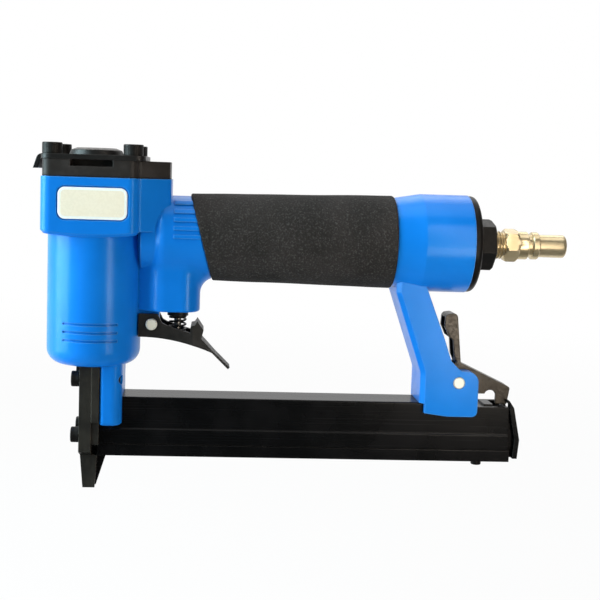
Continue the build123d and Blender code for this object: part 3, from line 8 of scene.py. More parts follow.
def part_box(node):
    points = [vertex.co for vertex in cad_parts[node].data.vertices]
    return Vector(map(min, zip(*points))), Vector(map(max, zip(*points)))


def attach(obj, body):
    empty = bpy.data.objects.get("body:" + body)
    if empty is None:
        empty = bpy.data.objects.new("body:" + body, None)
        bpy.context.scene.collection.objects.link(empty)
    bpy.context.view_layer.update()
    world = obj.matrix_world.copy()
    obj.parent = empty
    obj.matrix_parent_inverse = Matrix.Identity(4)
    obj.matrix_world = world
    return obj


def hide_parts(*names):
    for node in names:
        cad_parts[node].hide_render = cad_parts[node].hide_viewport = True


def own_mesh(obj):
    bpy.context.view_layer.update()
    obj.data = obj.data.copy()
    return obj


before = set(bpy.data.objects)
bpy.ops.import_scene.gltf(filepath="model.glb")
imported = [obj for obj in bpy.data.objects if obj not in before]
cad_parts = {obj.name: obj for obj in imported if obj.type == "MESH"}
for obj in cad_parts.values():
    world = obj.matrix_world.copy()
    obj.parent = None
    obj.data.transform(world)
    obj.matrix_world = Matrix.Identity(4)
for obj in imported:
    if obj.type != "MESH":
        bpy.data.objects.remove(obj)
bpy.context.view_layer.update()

# Housing: one die casting with barrel, head block, trigger boss, handle, flare and leg. It is shot-blasted
# and sprayed with a thick azure enamel, which rounds every edge and keeps a faint orange peel.


def tone(code):
    """A colour written as six hex digits of sRGB, as linear red, green, blue and alpha."""
    shares = np.array([int(code[k:k + 2], 16) for k in (0, 2, 4)]) / 255
    linear = np.where(shares <= 0.04045, shares / 12.92, ((shares + 0.055) / 1.055) ** 2.4)
    return (*linear.tolist(), 1.0)


class Field:
    """One output of a node tree. Arithmetic on it, with a number or another Field, adds a Math node."""

    def __init__(self, finish, socket):
        self.finish = finish
        self.socket = socket

    def math(self, operation, first, second):
        return self.finish.node("ShaderNodeMath", {"operation": operation}, {0: first, 1: second})

    def __add__(self, other):
        return self.math("ADD", self, other)

    __radd__ = __add__

    def __sub__(self, other):
        return self.math("SUBTRACT", self, other)

    def __rsub__(self, other):
        return self.math("SUBTRACT", other, self)

    def __mul__(self, other):
        return self.math("MULTIPLY", self, other)

    __rmul__ = __mul__


class Wiring:
    """The nodes of one tree and the links between them."""

    def __init__(self, tree):
        self.tree = tree

    def node(self, kind, settings, inputs, output=0):
        """Any node: its settings first, then a value or a link for each of its inputs."""
        made = self.tree.nodes.new(kind)
        for name, value in settings.items():
            setattr(made, name, value)
        for key, value in inputs.items():
            if isinstance(value, Field):
                self.tree.links.new(value.socket, made.inputs[key])
            else:
                made.inputs[key].default_value = value
        return Field(self, made.outputs[output])

    def step(self, value, low, high, below=0.0, above=1.0):
        """A smooth step from one value to another as a field passes from low to high."""
        inputs = {"Value": value, "From Min": low, "From Max": high, "To Min": below, "To Max": above}
        return self.node("ShaderNodeMapRange", {"interpolation_type": "SMOOTHSTEP"}, inputs)

    def ray(self, kind):
        """1 where a ray of this kind looks at the surface, else 0."""
        return self.node("ShaderNodeLightPath", {}, {}, f"Is {kind} Ray")

    def output(self, name, shader):
        """Ends the tree in a shader."""
        self.tree.links.new(shader.socket, self.tree.nodes[name].inputs["Surface"])


class Finish(Wiring):
    """A surface finish worked out by nodes in metres, on the Object coordinates of whatever wears it."""

    def __init__(self, name, constants):
        self.material = bpy.data.materials.new(name)
        self.material.use_nodes = True
        super().__init__(self.material.node_tree)
        self.shader = self.tree.nodes["Principled BSDF"]
        for socket, value in constants.items():
            self.shader.inputs[socket].default_value = value
        self.place = self.node("ShaderNodeTexCoord", {}, {}, "Object")

    def stretched(self, scale):
        """The coordinates with each axis stretched by its own factor."""
        return self.node("ShaderNodeMapping", {}, {"Vector": self.place, "Scale": scale})

    def noise(self, scale, detail=2.0, place=None):
        """Cloudy noise from 0 to 1, with features about 1/scale metres wide."""
        source = self.place if place is None else place
        return self.node("ShaderNodeTexNoise", {}, {"Vector": source, "Scale": scale, "Detail": detail})

    def spread(self, noise, below, above):
        """A value that wanders with a noise field from one limit to the other."""
        return self.step(noise, 0.3, 0.7, below, above)

    def between(self, share, first, second):
        """A colour between two others, each a field or six hex digits."""
        first, second = (tone(colour) if isinstance(colour, str) else colour for colour in (first, second))
        return self.node("ShaderNodeMix", {"data_type": "RGBA"}, {0: share, 6: first, 7: second}, 2)

    def mottled(self, noise, first, second, low=0.35, high=0.65):
        """A colour that wanders with a noise field between two others."""
        return self.between(self.step(noise, low, high), first, second)

    def edges(self, radius, low=0.01, high=0.25):
        """Near 1 along outer and inner edges: how far the rounded normal leans away from the flat one."""
        rounded = self.node("ShaderNodeBevel", {"samples": 6}, {"Radius": radius})
        flat = self.node("ShaderNodeNewGeometry", {}, {}, "Normal")
        lean = self.node("ShaderNodeVectorMath", {"operation": "DOT_PRODUCT"}, {0: rounded, 1: flat}, "Value")
        return self.step(1.0 - lean, low, high)

    def feed(self, socket, value):
        """Links a field to one socket of the shader."""
        self.tree.links.new(value.socket, self.shader.inputs[socket])

    def relief(self, height, depth, rounding=0.0):
        """Raises and sinks the surface by a height field times depth, over edges rounded to a radius."""
        inputs = {"Height": height, "Distance": depth, "Strength": 1.0}
        if rounding:
            inputs["Normal"] = self.node("ShaderNodeBevel", {"samples": 6}, {"Radius": rounding})
        self.feed("Normal", self.node("ShaderNodeBump", {}, inputs))

    def on(self, *nodes):
        """Gives the finish to CAD nodes."""
        for node in nodes:
            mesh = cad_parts[node].data
            mesh.materials.clear()
            mesh.materials.append(self.material)


enamel_gloss = {"Coat Roughness": 0.21, "Specular IOR Level": 0.35, "Specular Tint": (0.02, 0.6, 1, 1)}
enamel = Finish("azure_enamel", enamel_gloss)
enamel_edge = 0.0009
shade = enamel.noise(38, 3)
open_air = enamel.node("ShaderNodeAmbientOcclusion", {"samples": 8}, {"Distance": 0.002}, "AO")
# Paler outer edges: the enamel thinned over them, and partly a painted highlight.
rim = enamel.edges(enamel_edge) * enamel.step(open_air, 0.75, 0.98)
body = enamel.mottled(shade, "0f75d6", "137bde")
thin_paint_and_highlight = enamel.between(rim * 0.55, body, "6fb2f2")
# Painted shade: the enamel turns darker where little open air reaches, in grooves, crevices and under the
# head's edge.
painted_crevice_shade = enamel.step(open_air, 0.3, 0.8, 0.2, 0.0)
enamel.feed("Base Color", enamel.between(painted_crevice_shade, thin_paint_and_highlight, "06337a"))
enamel.feed("Roughness", enamel.spread(enamel.noise(160, 2), 0.34, 0.42))
enamel.feed("Coat Weight", enamel.spread(shade, 0.2, 0.26))
enamel.relief(enamel.noise(620, 1) + 0.35 * enamel.noise(1900, 1), 0.00003, enamel_edge)
enamel.on("housing")

# Name plate: a bare cream label with a pale border, under a clear layer that is poured on and so has a round
# rim and a slightly bowed middle. It is glued into the recess on the near side of the head.


def skin(name, rows, finish, ends=True):
    """A closed surface over a grid of points, rows by points round each row, with outward faces. The first
    and last rows are closed by a fan to their middle, or else joined to each other."""
    crease = math.radians(32)
    count, around = rows.shape[:2]
    points = rows.reshape(-1, 3)
    index = np.arange(count * around).reshape(count, around)
    loops = index if ends else np.vstack([index, index[:1]])
    quads = np.stack([loops[:-1], np.roll(loops[:-1], -1, 1), np.roll(loops[1:], -1, 1), loops[1:]], -1)
    quads = quads.reshape(-1, 4)
    fans = np.zeros((0, 3), int)
    if ends:
        first, last = len(points), len(points) + 1
        points = np.vstack([points, rows[0].mean(0), rows[-1].mean(0)])
        low = np.stack([np.full(around, first), np.roll(index[0], -1), index[0]], -1)
        high = np.stack([np.full(around, last), index[-1], np.roll(index[-1], -1)], -1)
        fans = np.vstack([low, high])
    triangles = np.vstack([quads[:, [0, 1, 2]], quads[:, [0, 2, 3]], fans])
    a, b, c = (points[triangles[:, k]] for k in range(3))
    if np.einsum("ij,ij->i", a, np.cross(b, c)).sum() < 0:
        quads, fans = quads[:, ::-1], fans[:, ::-1]
    mesh = bpy.data.meshes.new(name)
    mesh.from_pydata(points.tolist(), [], quads.tolist() + fans.tolist())
    mesh.polygons.foreach_set("use_smooth", np.ones(len(mesh.polygons), bool))
    mesh.set_sharp_from_angle(angle=crease)
    mesh.materials.append(finish.material)
    piece = bpy.data.objects.new(name, mesh)
    bpy.context.scene.collection.objects.link(piece)
    return piece


label = Finish("cream_label", {"Coat Weight": 0.3, "Coat Roughness": 0.08, "Specular IOR Level": 0.3})
border_width, border_blur = 0.0012, 0.0001
inward = label.node("ShaderNodeAttribute", {"attribute_name": "inward"}, {}, "Fac")
paper = label.between(label.noise(140, 2), "faecd4", "fbefda")
inside = label.step(inward, border_width - border_blur, border_width + border_blur)
label.feed("Base Color", label.between(inside, "fbfbf7", paper))
label.feed("Roughness", label.spread(label.noise(900, 2), 0.22, 0.32))
label.relief(label.noise(500, 1), 0.00001)

# The outline is a rounded rectangle. Each row of the dome is that outline drawn in by a distance, and its
# height follows a quarter circle at the rim and a shallow bow over the middle.
plate_low, plate_high = (np.array(corner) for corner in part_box("name_plate"))
plate_half = (plate_high - plate_low)[[0, 2]] / 2
plate_mid = (plate_high + plate_low)[[0, 2]] / 2
plate_corner, plate_points = 0.003, 96
rim_foot, rim_height, rim_width, bow_height = 0.00045, 0.00025, 0.00035, 0.0001
turn = np.linspace(0, 2 * np.pi, plate_points, endpoint=False) + np.pi / plate_points
outline = np.stack([np.cos(turn), np.sin(turn)], -1)
arc = np.linspace(0.25, 1, 6) * np.pi / 2
bow = np.linspace(0, 1, 24)
bow_start, bow_end = 0.0005, plate_half[1] * 0.97
drawn_in = np.concatenate([[0.0, 0.0], rim_width * (1 - np.cos(arc)),
                           bow_start + (bow_end - bow_start) * bow])
risen = np.concatenate([[0.0, rim_foot], rim_foot + rim_height * np.sin(arc),
                        rim_foot + rim_height + bow_height * bow ** 0.6])
corner = np.maximum(plate_corner - drawn_in, 0.0)[:, None, None]
straight = plate_half - drawn_in[:, None, None] - corner
flat = np.sign(outline) * straight + corner * outline + plate_mid
depth = np.broadcast_to(plate_high[1] - risen[:, None], flat.shape[:2])
plate = skin("name_plate_dome", np.stack([flat[..., 0], depth, flat[..., 1]], -1), label)
inset_values = np.append(np.repeat(drawn_in, plate_points), [0.0, plate_half[1]])
plate.data.attributes.new("inward", "FLOAT", "POINT").data.foreach_set("value", inset_values)
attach(plate, "tool")
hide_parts("name_plate")

# Nose: a milled front plate and a back plate of hardened steel, oil-blackened to a warm dark grey, with faint
# grinding lines down the drive axis and bare edges.
nose = Finish("blackened_nose_steel", {"Metallic": 0.55, "Specular IOR Level": 0.3})
nose_edge = 0.0005
lines = nose.noise(700, 2, nose.stretched((1, 1, 0.05)))
rim = nose.edges(nose_edge)
steel = nose.mottled(nose.noise(90, 3), "33302d", "423e39")
nose.feed("Base Color", nose.between(rim * 0.5, steel, "6d675d"))
nose.feed("Roughness", nose.spread(lines, 0.34, 0.5))
nose.relief(lines, 0.00002, nose_edge)
nose.on("nose_front_plate", "nose_back_plate")

# Socket-head screws of the nose: four, cold-headed from steel with a knurled rim and a broached hexagon,
# under a black oxide skin. The upper two reach into the housing's feet, and the lower two join the plates.
oxide = Finish("black_oxide", {"Metallic": 0.35, "Specular IOR Level": 0.3})
rim = oxide.edges(0.0003)
black = oxide.between(oxide.noise(420, 3), "161514", "24211f")
oxide.feed("Base Color", oxide.between(rim * 0.4, black, "55504a"))
oxide.feed("Roughness", oxide.spread(oxide.noise(1500, 2), 0.36, 0.52))
oxide.relief(oxide.noise(2600, 2), 0.000012)


def socket_screw(name, node, axis, head_r, head, shank_r, socket, depth):
    """A screw that stands for a node, along X with its head in front or along Z with its head on top. Each
    row round the axis is a radius: knurled where the head is gripped, six-sided in the socket."""
    around, grooves, groove_depth = 144, 36, 0.00011
    edge, chamfer = 0.0004, 0.0005
    angle = np.linspace(0, 2 * np.pi, around, endpoint=False)
    ones = np.ones(around)
    gripped = head_r - groove_depth * (0.5 - 0.5 * np.cos(grooves * angle))
    six = socket / 2 / np.cos((angle + np.pi / 6) % (np.pi / 3) - np.pi / 6)
    low, high = (np.array(corner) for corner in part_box(node))
    middle = (low + high) / 2
    length = (high - low)[axis]
    profile = [(0.0004 * ones, depth + 0.0006), (0.72 * six, depth + 0.0003), (six, depth)]
    profile += [(six, 0.0004), (six + 0.0002, 0.00012), (six + 0.0005, 0.0)]
    for lean in (1.57, 1.3, 0.9, 0.4):
        profile += [((head_r - edge + edge * math.cos(lean)) * ones, edge - edge * math.sin(lean))]
    profile += [(head_r * ones, edge + 0.0003), (gripped, edge + 0.0006), (gripped, head - 0.0007)]
    profile += [(head_r * ones, head - 0.0004), ((head_r - 0.0001) * ones, head), (shank_r * ones, head)]
    profile += [(shank_r * ones, length - chamfer), ((shank_r - chamfer) * ones, length)]
    radius = np.array([r for r, _ in profile])
    down = np.array([d for _, d in profile])[:, None] * ones
    across = radius * np.cos(angle)
    aside = radius * np.sin(angle)
    if axis == 0:
        rows = np.stack([low[0] + down, middle[1] + across, middle[2] + aside], -1)
    else:
        rows = np.stack([middle[0] + across, middle[1] + aside, high[2] - down], -1)
    piece = skin(name, rows, oxide)
    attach(piece, "tool")
    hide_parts(node)


for place in ("upper_near", "upper_far", "lower_near", "lower_far"):
    socket_screw(f"nose_socket_screw_{place}", f"nose_screw_{place}", axis=0,
                 head_r=0.0034, head=0.0036, shank_r=0.002, socket=0.003, depth=0.0022)

# Cylinder and driver inside the barrel: a sleeve and a piston turned from aluminium, and a hardened blade
# hung on a cross pin. The pusher's rod and the valve stem are ground from the same steel.
turned = Finish("turned_aluminium", {"Metallic": 1.0})
rings = turned.noise(2200, 1, turned.stretched((0.02, 0.02, 1)))
turned.feed("Base Color", turned.between(turned.noise(140, 2), "b4b6b8", "c6c8ca"))
turned.feed("Roughness", turned.spread(rings, 0.24, 0.4))
turned.relief(rings, 0.00001, 0.0003)
turned.on("cylinder_sleeve", "piston")

blade = Finish("hardened_blade_steel", {"Metallic": 1.0})
lines = blade.noise(1500, 2, blade.stretched((1, 1, 0.03)))
blade.feed("Base Color", blade.between(blade.noise(70, 3), "8b8a88", "a3a19d"))
blade.feed("Roughness", blade.spread(lines, 0.22, 0.42))
blade.relief(lines, 0.00001, 0.0002)
blade.on("driver_blade", "driver_pin", "pusher_rod", "valve_stem")

# Seals, gasket and piston ring: moulded black rubber with a dusty skin, pressed into grooves or clamped under
# the cap. The bumper below the piston is cast from amber urethane.
rubber = Finish("seal_rubber", {"Specular IOR Level": 0.25})
rubber.feed("Base Color", rubber.between(rubber.noise(700, 3), "151515", "222120"))
rubber.feed("Roughness", rubber.spread(rubber.noise(1200, 2), 0.55, 0.75))
rubber.relief(rubber.noise(3000, 2), 0.00002)
rubber.on("cap_gasket", "sleeve_seal", "head_valve_seal", "end_cap_seal")
rubber.on("valve_seal_lower", "valve_seal_upper", "stem_seal", "piston_ring")

amber = Finish("bumper_urethane", {"Specular IOR Level": 0.4})
amber.feed("Base Color", amber.between(amber.noise(220, 3), "8a4f1c", "a3662c"))
amber.feed("Roughness", amber.spread(amber.noise(900, 2), 0.4, 0.55))
amber.relief(amber.noise(1400, 2), 0.00002, 0.0004)
amber.on("bumper")

# Head valve: a moulded white disc that slides on the cap's post, with its spring of round wire above it. The
# wire is hard-drawn and dark, and the tool's other springs are wound from it too.
acetal = Finish("white_acetal", {"Specular IOR Level": 0.45})
acetal.feed("Base Color", acetal.between(acetal.noise(260, 3), "dcdad2", "e8e6df"))
acetal.feed("Roughness", acetal.spread(acetal.noise(900, 2), 0.36, 0.5))
acetal.relief(acetal.noise(1600, 2), 0.000012, 0.0004)
acetal.on("head_valve")

wire = Finish("spring_wire", {"Metallic": 0.9, "Specular IOR Level": 0.4})
drawn = wire.noise(2400, 2, wire.stretched((1, 1, 0.4)))
wire.feed("Base Color", wire.between(wire.noise(500, 3), "2e2d2c", "474543"))
wire.feed("Roughness", wire.spread(drawn, 0.26, 0.42))
wire.relief(drawn, 0.00001)
wire.on("latch_spring")


def coil_spring(name, node, axis, wire_r, turns):
    """A compression spring that fills a node's box: a helix whose first and last turn lie flat and close, so
    the pitch follows a smooth step at both ends. Each row is a ring of wire about the helix."""
    steps_per_turn, wire_points, end_pitch = 40, 10, 0.25
    low, high = (np.array(corner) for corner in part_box(node))
    middle = (low + high) / 2
    side = (axis + 1) % 3
    other = (axis + 2) % 3
    coil_r = (high - low)[side] / 2 - wire_r
    share = np.linspace(0, 1, turns * steps_per_turn + 1)
    angle = share * turns * 2 * np.pi
    from_end = np.clip(np.minimum(share, 1 - share) * turns, 0, 1)
    pitch = end_pitch + (1 - end_pitch) * from_end ** 2 * (3 - 2 * from_end)
    height = np.concatenate([[0], np.cumsum((pitch[1:] + pitch[:-1]) / 2)])
    length = (high - low)[axis] - 2 * wire_r
    path = np.zeros((len(share), 3))
    path[:, side] = middle[side] + coil_r * np.cos(angle)
    path[:, other] = middle[other] + coil_r * np.sin(angle)
    path[:, axis] = low[axis] + wire_r + length * height / height[-1]
    along = np.gradient(path, axis=0)
    along /= np.linalg.norm(along, axis=1)[:, None]
    out = path - middle
    out[:, axis] = 0
    out /= np.linalg.norm(out, axis=1)[:, None]
    up = np.cross(along, out)
    ring = np.linspace(0, 2 * np.pi, wire_points, endpoint=False)[:, None]
    rows = path[:, None] + wire_r * (np.cos(ring) * out[:, None] + np.sin(ring) * up[:, None])
    piece = skin(name, rows, wire)
    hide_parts(node)
    return piece


valve_spring = coil_spring("head_valve_coil", "head_valve_spring", axis=2, wire_r=0.0008, turns=4)
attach(valve_spring, "tool")
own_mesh(valve_spring)

# Head cap and exhaust cover: a black cast cap with its exhaust chamber, and a pressed steel cover with a bent
# lip, both painted satin black and a little brown where the paint is thin. Four socket-head screws hold them
# on the head block.
cast = Finish("black_cast_paint", {"Specular IOR Level": 0.22})
paint_edge = 0.0006
rim = cast.edges(paint_edge)
paint = cast.mottled(cast.noise(120, 3), "2b2725", "383331")
cast.feed("Base Color", cast.between(rim * 0.5, paint, "4d4644"))
cast.feed("Roughness", cast.spread(cast.noise(500, 2), 0.38, 0.5))
cast.relief(cast.noise(1300, 2), 0.00004, paint_edge)
cast.on("top_cap")

sheet = Finish("black_sheet_paint", {"Specular IOR Level": 0.35})
rim = sheet.edges(paint_edge)
paint = sheet.mottled(sheet.noise(80, 3), "191716", "221f1e")
sheet.feed("Base Color", sheet.between(rim * 0.5, paint, "4a4543"))
sheet.feed("Roughness", sheet.spread(sheet.noise(400, 2), 0.32, 0.44))
sheet.relief(sheet.noise(900, 2), 0.00002, paint_edge)
sheet.on("exhaust_cover")

for place in ("front_near", "front_far", "rear_near", "rear_far"):
    socket_screw(f"cap_socket_screw_{place}", f"cap_screw_{place}", axis=2,
                 head_r=0.0042, head=0.00475, shank_r=0.0025, socket=0.004, depth=0.0028)

# Trigger group: a stamped trigger, blackened and tumbled, on a zinc-plated pin whose edges carry painted
# shade, like the shadow of the hole round it. A small spring stands between its floor and the collar of the
# black valve body in the boss.
trigger = Finish("tumbled_trigger_black", {"Metallic": 0.2, "Specular IOR Level": 0.3})
trigger_edge = 0.0005
rim = trigger.edges(trigger_edge)
coat = trigger.mottled(trigger.noise(160, 3), "232221", "2e2c2b")
trigger.feed("Base Color", trigger.between(rim * 0.5, coat, "5a5753"))
trigger.feed("Roughness", trigger.spread(trigger.noise(900, 2), 0.4, 0.55))
trigger.relief(trigger.noise(1800, 2), 0.00002, trigger_edge)
trigger.on("trigger")

zinc = Finish("zinc_plate", {"Metallic": 0.1, "Specular IOR Level": 0.3})
cloud = zinc.noise(600, 3)
rim = zinc.edges(0.0006, 0.02, 0.2)
plating = zinc.between(cloud, "efe8d4", "f7f1e2")
# Painted shade: the edges of both pins are darkened like the shadow in the holes round them.
zinc.feed("Base Color", zinc.between(rim * 0.85, plating, "2b2824"))
zinc.feed("Roughness", zinc.spread(cloud, 0.3, 0.42))
zinc.relief(zinc.noise(2200, 2), 0.00001, 0.0003)
zinc.on("trigger_pin", "latch_pin")

oxide.on("valve_body")
trigger_spring = coil_spring("trigger_coil", "trigger_spring", axis=2, wire_r=0.00045, turns=4)
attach(trigger_spring, "tool")
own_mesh(trigger_spring)

# Grip: a sleeve of foam rubber rolled onto the handle, cut square behind and at a slant in front. Its ground
# skin is charcoal with fine pale pores, and it sits a little unevenly on the tube.
foam = Finish("foam_rubber", {"Specular IOR Level": 0.15})
pores = foam.node("ShaderNodeTexVoronoi", {}, {"Vector": foam.place, "Scale": 1000}, "Distance")
grain = foam.noise(1300, 3)
wide = foam.noise(55, 3)
charcoal = foam.mottled(wide, "262322", "302c2b", 0.3, 0.7)
speckle = foam.step(grain, 0.44, 0.76) * foam.step(pores, 0.05, 0.6)
foam.feed("Base Color", foam.between(speckle * 0.36, charcoal, "6c6967"))
foam.feed("Roughness", foam.spread(grain, 0.78, 0.95))
foam.relief(grain + 0.6 * pores, 0.0003)

# The section runs from the slanted front edge over the outside to the rear and back along the bore. The front
# edge lies on a plane: the station falls with height by the slant's tangent.
handle_axis = 0.111
grip_front, grip_rear, grip_play = 0.0463, 0.12998, 0.00002
grip_slant = math.tan(math.radians(14.8))
front_r, rear_r, grip_wall, grip_edge, unevenness = 0.0189, 0.0204, 0.00298, 0.0008, 0.00006
turn = np.linspace(0, 2 * np.pi, 200, endpoint=False)
arc = np.linspace(0, np.pi / 2, 5)[:, None]


def grip_station(radius, share):
    """The station of a point, its share of the way from the slanted front to the square rear."""
    front = grip_front + grip_play - radius * np.cos(turn) * grip_slant
    return front + (grip_rear - front) * share


def grip_radius(station):
    """The outer radius at a station, with a low unevenness that fades towards both ends."""
    along = (station - grip_front) / (grip_rear - grip_front)
    wave = np.sin(9 * along + 2 * turn) + 0.7 * np.sin(17 * along - 3 * turn + 1) + 0.5 * np.sin(5 * turn + 2)
    fade = np.clip(np.minimum(along, 1 - along) * 8, 0, 1)
    return front_r + (rear_r - front_r) * along + unevenness * fade * wave


def grip_rounding(station, way, angles):
    """Stations and radii round an end's outer edge: a quarter circle, backwards or forwards by its way."""
    radius = grip_radius(station)
    return [(station + way * grip_edge * np.sin(a), radius - grip_edge * (1 - np.cos(a))) for a in angles]


outer = [grip_station(front_r, share) for share in np.linspace(0, 1, 90)]
outer[0] = outer[0] + grip_edge
outer[-1] = outer[-1] - grip_edge
section = [(x, grip_radius(x)) for x in outer]
section += grip_rounding(outer[-1], 1, arc[1:])
section += [(grip_station(front_r, share), front_r + (rear_r - front_r) * share - grip_wall + 0 * turn)
            for share in np.linspace(1, 0, 12)]
section += grip_rounding(outer[0], -1, arc[:0:-1])
stations = np.array([x for x, _ in section])
radii = np.array([r for _, r in section])
grip_rows = np.stack([stations, radii * np.sin(turn), handle_axis + radii * np.cos(turn)], -1)
grip = skin("foam_grip", grip_rows, foam, ends=False)
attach(grip, "tool")
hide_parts("grip_sleeve")

# End cap: turned from black-anodised bar, with a flange against the flare and a hexagon for the spanner. Its
# edges are rubbed to a dull grey.
anodised = Finish("black_anodised_cap", {"Specular IOR Level": 0.12})
cap_edge = 0.0005
rim = anodised.edges(cap_edge)
black = anodised.mottled(anodised.noise(150, 3), "131212", "1c1a19")
anodised.feed("Base Color", anodised.between(rim * 0.6, black, "6b6763"))
anodised.feed("Roughness", anodised.spread(anodised.noise(700, 2), 0.34, 0.46))
anodised.relief(anodised.noise(1600, 2), 0.00001, cap_edge)
anodised.on("end_cap")

# Air plug: turned from hexagon brass and plated pale, screwed into the end cap by its own thread. It has a
# thread, a hexagon with turned corners, a collar, a groove, a locking ring and a hollow nose.
brass = Finish("pale_plated_brass", {"Metallic": 0.72})
lathe_lines = brass.noise(2600, 1, brass.stretched((1, 0.03, 0.03)))
rim = brass.edges(0.0003)
plated = brass.mottled(brass.noise(130, 3), "cbb991", "d7c6a2")
# Painted highlight: the plug's edges turn near white, as if lit.
brass.feed("Base Color", brass.between(rim * 0.7, plated, "fbf6e8"))
brass.feed("Roughness", brass.spread(lathe_lines, 0.25, 0.262))
brass.relief(lathe_lines, 0.0000002)

# Each row is a radius round the plug at one station. The thread is a triangle wave that winds round the axis
# with flattened crests, and the hexagon is cut back by a cone at both ends.
plug_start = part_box("air_plug")[0][0]
thread_root, thread_depth, thread_pitch, crest_flat = 0.0053, 0.00095, 0.00134, 1.15
hex_start, hex_end, hex_flat_r, cone_r, cone_slope = 0.1802, 0.1864, 0.0065, 0.0066, 0.9
turn = np.linspace(0, 2 * np.pi, 144, endpoint=False)
ones = np.ones(144)
thread_x = np.arange(plug_start, hex_start - 0.0008, thread_pitch / 10)
wave = np.abs((thread_x[:, None] / thread_pitch - turn / (2 * np.pi)) % 1 * 2 - 1)
thread = thread_root + thread_depth * np.clip(wave * crest_flat, 0, 1)
six = hex_flat_r / np.cos((turn - math.radians(15)) % (np.pi / 3) - np.pi / 6)
hex_x = np.linspace(hex_start, hex_end, 16)
from_edge = np.minimum(hex_x - hex_x[0], hex_x[-1] - hex_x)[:, None]
hexagon = np.minimum(six, cone_r + cone_slope * from_edge)
neck = [(hex_start - 0.0006, 0.0054), (hex_start - 0.0001, 0.0058)]
turned_part = [
    (0.1864, 0.0061), (0.1867, 0.0062), (0.1905, 0.0062), (0.1908, 0.0060), (0.1909, 0.0052),
    (0.1911, 0.0049), (0.1924, 0.0049), (0.1926, 0.0051), (0.1927, 0.0058), (0.1930, 0.0061),
    (0.1952, 0.0061), (0.1955, 0.0059), (0.1957, 0.0053), (0.1959, 0.0050), (0.1975, 0.0050),
    (0.2060, 0.0051), (0.2069, 0.0051), (0.2074, 0.0049), (0.2078, 0.0044), (0.2078, 0.0036),
    (0.2075, 0.0033), (0.2065, 0.0032), (0.1930, 0.0032), (0.1920, 0.0020),
]
plug_x = np.concatenate([[plug_start], thread_x, [x for x, _ in neck], hex_x, [x for x, _ in turned_part]])
plug_r = np.vstack([0.003 * ones, thread, [r * ones for _, r in neck], hexagon,
                    [r * ones for _, r in turned_part]])
plug_rows = np.stack([plug_x[:, None] * ones, plug_r * np.sin(turn), handle_axis + plug_r * np.cos(turn)], -1)
plug = skin("threaded_air_plug", plug_rows, brass)
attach(plug, "tool")
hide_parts("air_plug")

# Magazine and slide: channels folded from steel in black gloss lacquer, with faint drawing lines along them.
# The magazine is screwed under the leg, and the slide's tongue, block and end plate wear the same lacquer.
lacquer = Finish("black_gloss_lacquer", {"Specular IOR Level": 0.15})
lacquer_edge = 0.0005
rim = lacquer.edges(lacquer_edge)
lines = lacquer.noise(1500, 2, lacquer.stretched((0.008, 1, 1)))
gloss = lacquer.mottled(lacquer.noise(60, 3), "0a0a0b", "121112")
lacquer.feed("Base Color", lacquer.between(rim * 0.5, gloss, "3d3835"))
lacquer.feed("Roughness", lacquer.spread(lines, 0.24, 0.28))
lacquer.relief(lines, 0.000002, lacquer_edge)
lacquer.on("magazine_channel", "slide_cover", "slide_end_plate")
lacquer.on("slide_rail", "slide_tongue", "slide_rear_block")

oxide.on("magazine_screw", "slide_screw")

# Pusher: a moulded black shoe that runs on the slide's rod. A long thin spring between it and the slide's
# rear block drives it forward.
moulded = Finish("moulded_black_plastic", {"Specular IOR Level": 0.4})
moulded.feed("Base Color", moulded.between(moulded.noise(300, 3), "191919", "232323"))
moulded.feed("Roughness", moulded.spread(moulded.noise(1000, 2), 0.42, 0.56))
moulded.relief(moulded.noise(2000, 2), 0.00002, 0.0004)
moulded.on("pusher")

pusher_spring = coil_spring("pusher_coil", "pusher_spring", axis=0, wire_r=0.00035, turns=30)
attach(pusher_spring, "slide")
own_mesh(pusher_spring)

# Latch: a folded steel lever that turns on its pin between the cheeks of the leg. It is browned, and its
# edges are paler: polished by use, and partly a painted highlight.
browned = Finish("browned_latch_steel", {"Metallic": 0.3, "Specular IOR Level": 0.4})
latch_edge = 0.0006
rim = browned.edges(latch_edge)
patina = browned.mottled(browned.noise(140, 4), "2a241b", "3d352a", 0.3, 0.7)
# Paler edges: polished by use, and partly a painted highlight.
browned.feed("Base Color", browned.between(rim * 0.5, patina, "85785f"))
browned.feed("Roughness", browned.spread(browned.noise(700, 2), 0.26, 0.42))
browned.relief(browned.noise(1200, 2), 0.00003, latch_edge)
browned.on("latch_lever")

# Stage: a pale floor well below the tool, which keeps a faint shadow, in a white room. The room and the floor
# are white behind the tool and dark on the camera's side, where the black cloths of a studio hang.
room = bpy.data.worlds.new("white_room")
room.use_nodes = True
bpy.context.scene.world = room
air = Wiring(room.node_tree)
direction = air.node("ShaderNodeTexCoord", {}, {}, "Generated")
behind = air.node("ShaderNodeSeparateXYZ", {}, {0: direction}, "Y")
seen = air.ray("Camera")
mirrored = air.ray("Glossy") + air.ray("Transmission")
brightness = seen + mirrored * air.step(behind, 0.15, 0.9, 0.04, 1.0) + (1.0 - seen - mirrored) * 0.012
glow = air.node("ShaderNodeBackground", {}, {"Color": (1, 1, 1, 1), "Strength": brightness})
air.output("World Output", glow)

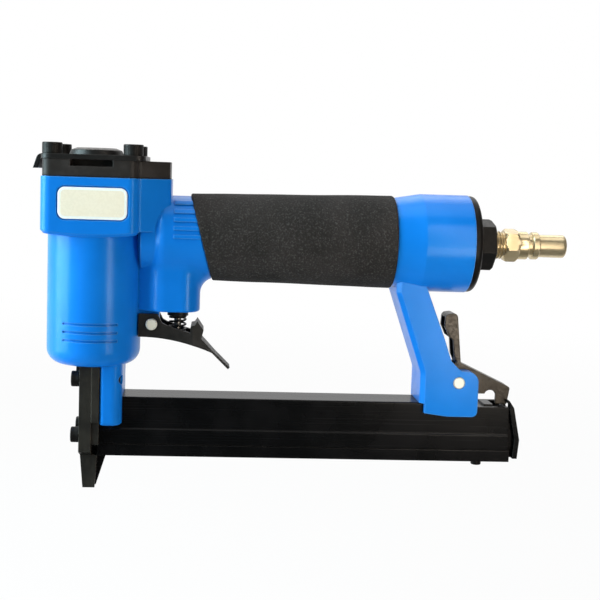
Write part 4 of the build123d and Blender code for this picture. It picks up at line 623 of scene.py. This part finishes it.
floor_mesh = bpy.data.meshes.new("pale_floor")
floor_mesh.from_pydata([(-4, -4, -0.1), (4, -4, -0.1), (4, 4, -0.1), (-4, 4, -0.1)], [], [(0, 1, 2, 3)])
floor = bpy.data.objects.new("pale_floor", floor_mesh)
bpy.context.scene.collection.objects.link(floor)
pale = Finish("pale_floor", {"Specular IOR Level": 0.0})
pale.feed("Base Color", pale.between(pale.noise(6, 2), "d2d2d2", "dadada"))
behind = pale.node("ShaderNodeSeparateXYZ", {}, {0: pale.place}, "Y")
away = pale.node("ShaderNodeVectorMath", {"operation": "LENGTH"}, {0: pale.place}, "Value")
seen = pale.ray("Camera")
mirrored = pale.ray("Glossy") + pale.ray("Transmission")
brightness = seen + mirrored * pale.step(behind, -0.05, 0.15, 0.04, 1.0)
glow = pale.node("ShaderNodeEmission", {}, {"Color": (1, 1, 1, 1), "Strength": brightness})
surface = Field(pale, pale.shader.outputs[0])
share = seen * pale.step(away, 0.3, 1.5, 0.95, 1.0) + mirrored
pale.output("Material Output", pale.node("ShaderNodeMixShader", {}, {0: share, 1: surface, 2: glow}))
floor_mesh.materials.append(pale.material)

# Lamps: soft boxes, cool from the left like daylight, warm from the right and neutral above. The two on the
# right are small, because they only draw highlights on the barrel, the leg and the plug.


def softbox(name, place, aim, width, height, watts, colour):
    """A rectangular lamp at a place, turned towards a point."""
    lamp = bpy.data.lights.new(name, "AREA")
    lamp.shape = "RECTANGLE"
    lamp.size = width
    lamp.size_y = height
    lamp.energy = watts
    lamp.color = colour
    holder = bpy.data.objects.new(name, lamp)
    holder.location = place
    holder.visible_camera = False
    holder.rotation_euler = (Vector(aim) - Vector(place)).to_track_quat("-Z", "Y").to_euler()
    bpy.context.scene.collection.objects.link(holder)


daylight, lamplight, neutral = (0.75, 1.0, 1.07), (1.0, 0.9, 0.78), (1.0, 0.97, 0.94)
softbox("key_left", (-0.587, -0.12, 0.33), (0.0, 0, 0.10), 0.5, 0.85, 12.0, daylight)
softbox("fill_left", (-0.38, -0.585, 0.24), (0.0, 0, 0.11), 0.3, 0.4, 0.35, daylight)
softbox("card_right", (0.198, -0.2, 0.055), (0.155, 0, 0.075), 0.07, 0.075, 0.088, lamplight)
softbox("strip_right", (0.25, -0.315, 0.19), (0.07, 0, 0.13), 0.05, 0.42, 0.53, lamplight)
softbox("top", (0.08, -0.05, 0.75), (0.08, 0, 0.09), 0.9, 0.4, 2.0, neutral)
softbox("top_behind", (0.10, 0.45, 0.65), (0.05, 0, 0.09), 0.9, 0.4, 2.0, neutral)

# Camera at the photograph's place: a little behind the trigger, above the grip, turned and tipped slightly.
# Its three directions give its turn, and the shift keeps the photograph's framing.
camera = bpy.data.cameras.new("camera")
camera.lens = 64.26
camera.sensor_width = 36.0
camera.shift_x = 0.0733
camera.shift_y = -0.0367
camera.clip_start = 0.01
eye = bpy.data.objects.new("camera", camera)
right = Vector((0.99831, -0.04939, 0.03040))
up = Vector((-0.02549, 0.09727, 0.99493))
ahead = Vector((0.05210, 0.99403, -0.09585))
turned_to = Matrix((right, up, -ahead)).transposed().to_4x4()
eye.matrix_world = Matrix.Translation((0.04611, -0.47007, 0.13877)) @ turned_to
bpy.context.scene.collection.objects.link(eye)
bpy.context.scene.camera = eye
bpy.context.scene.view_settings.view_transform = "Standard"
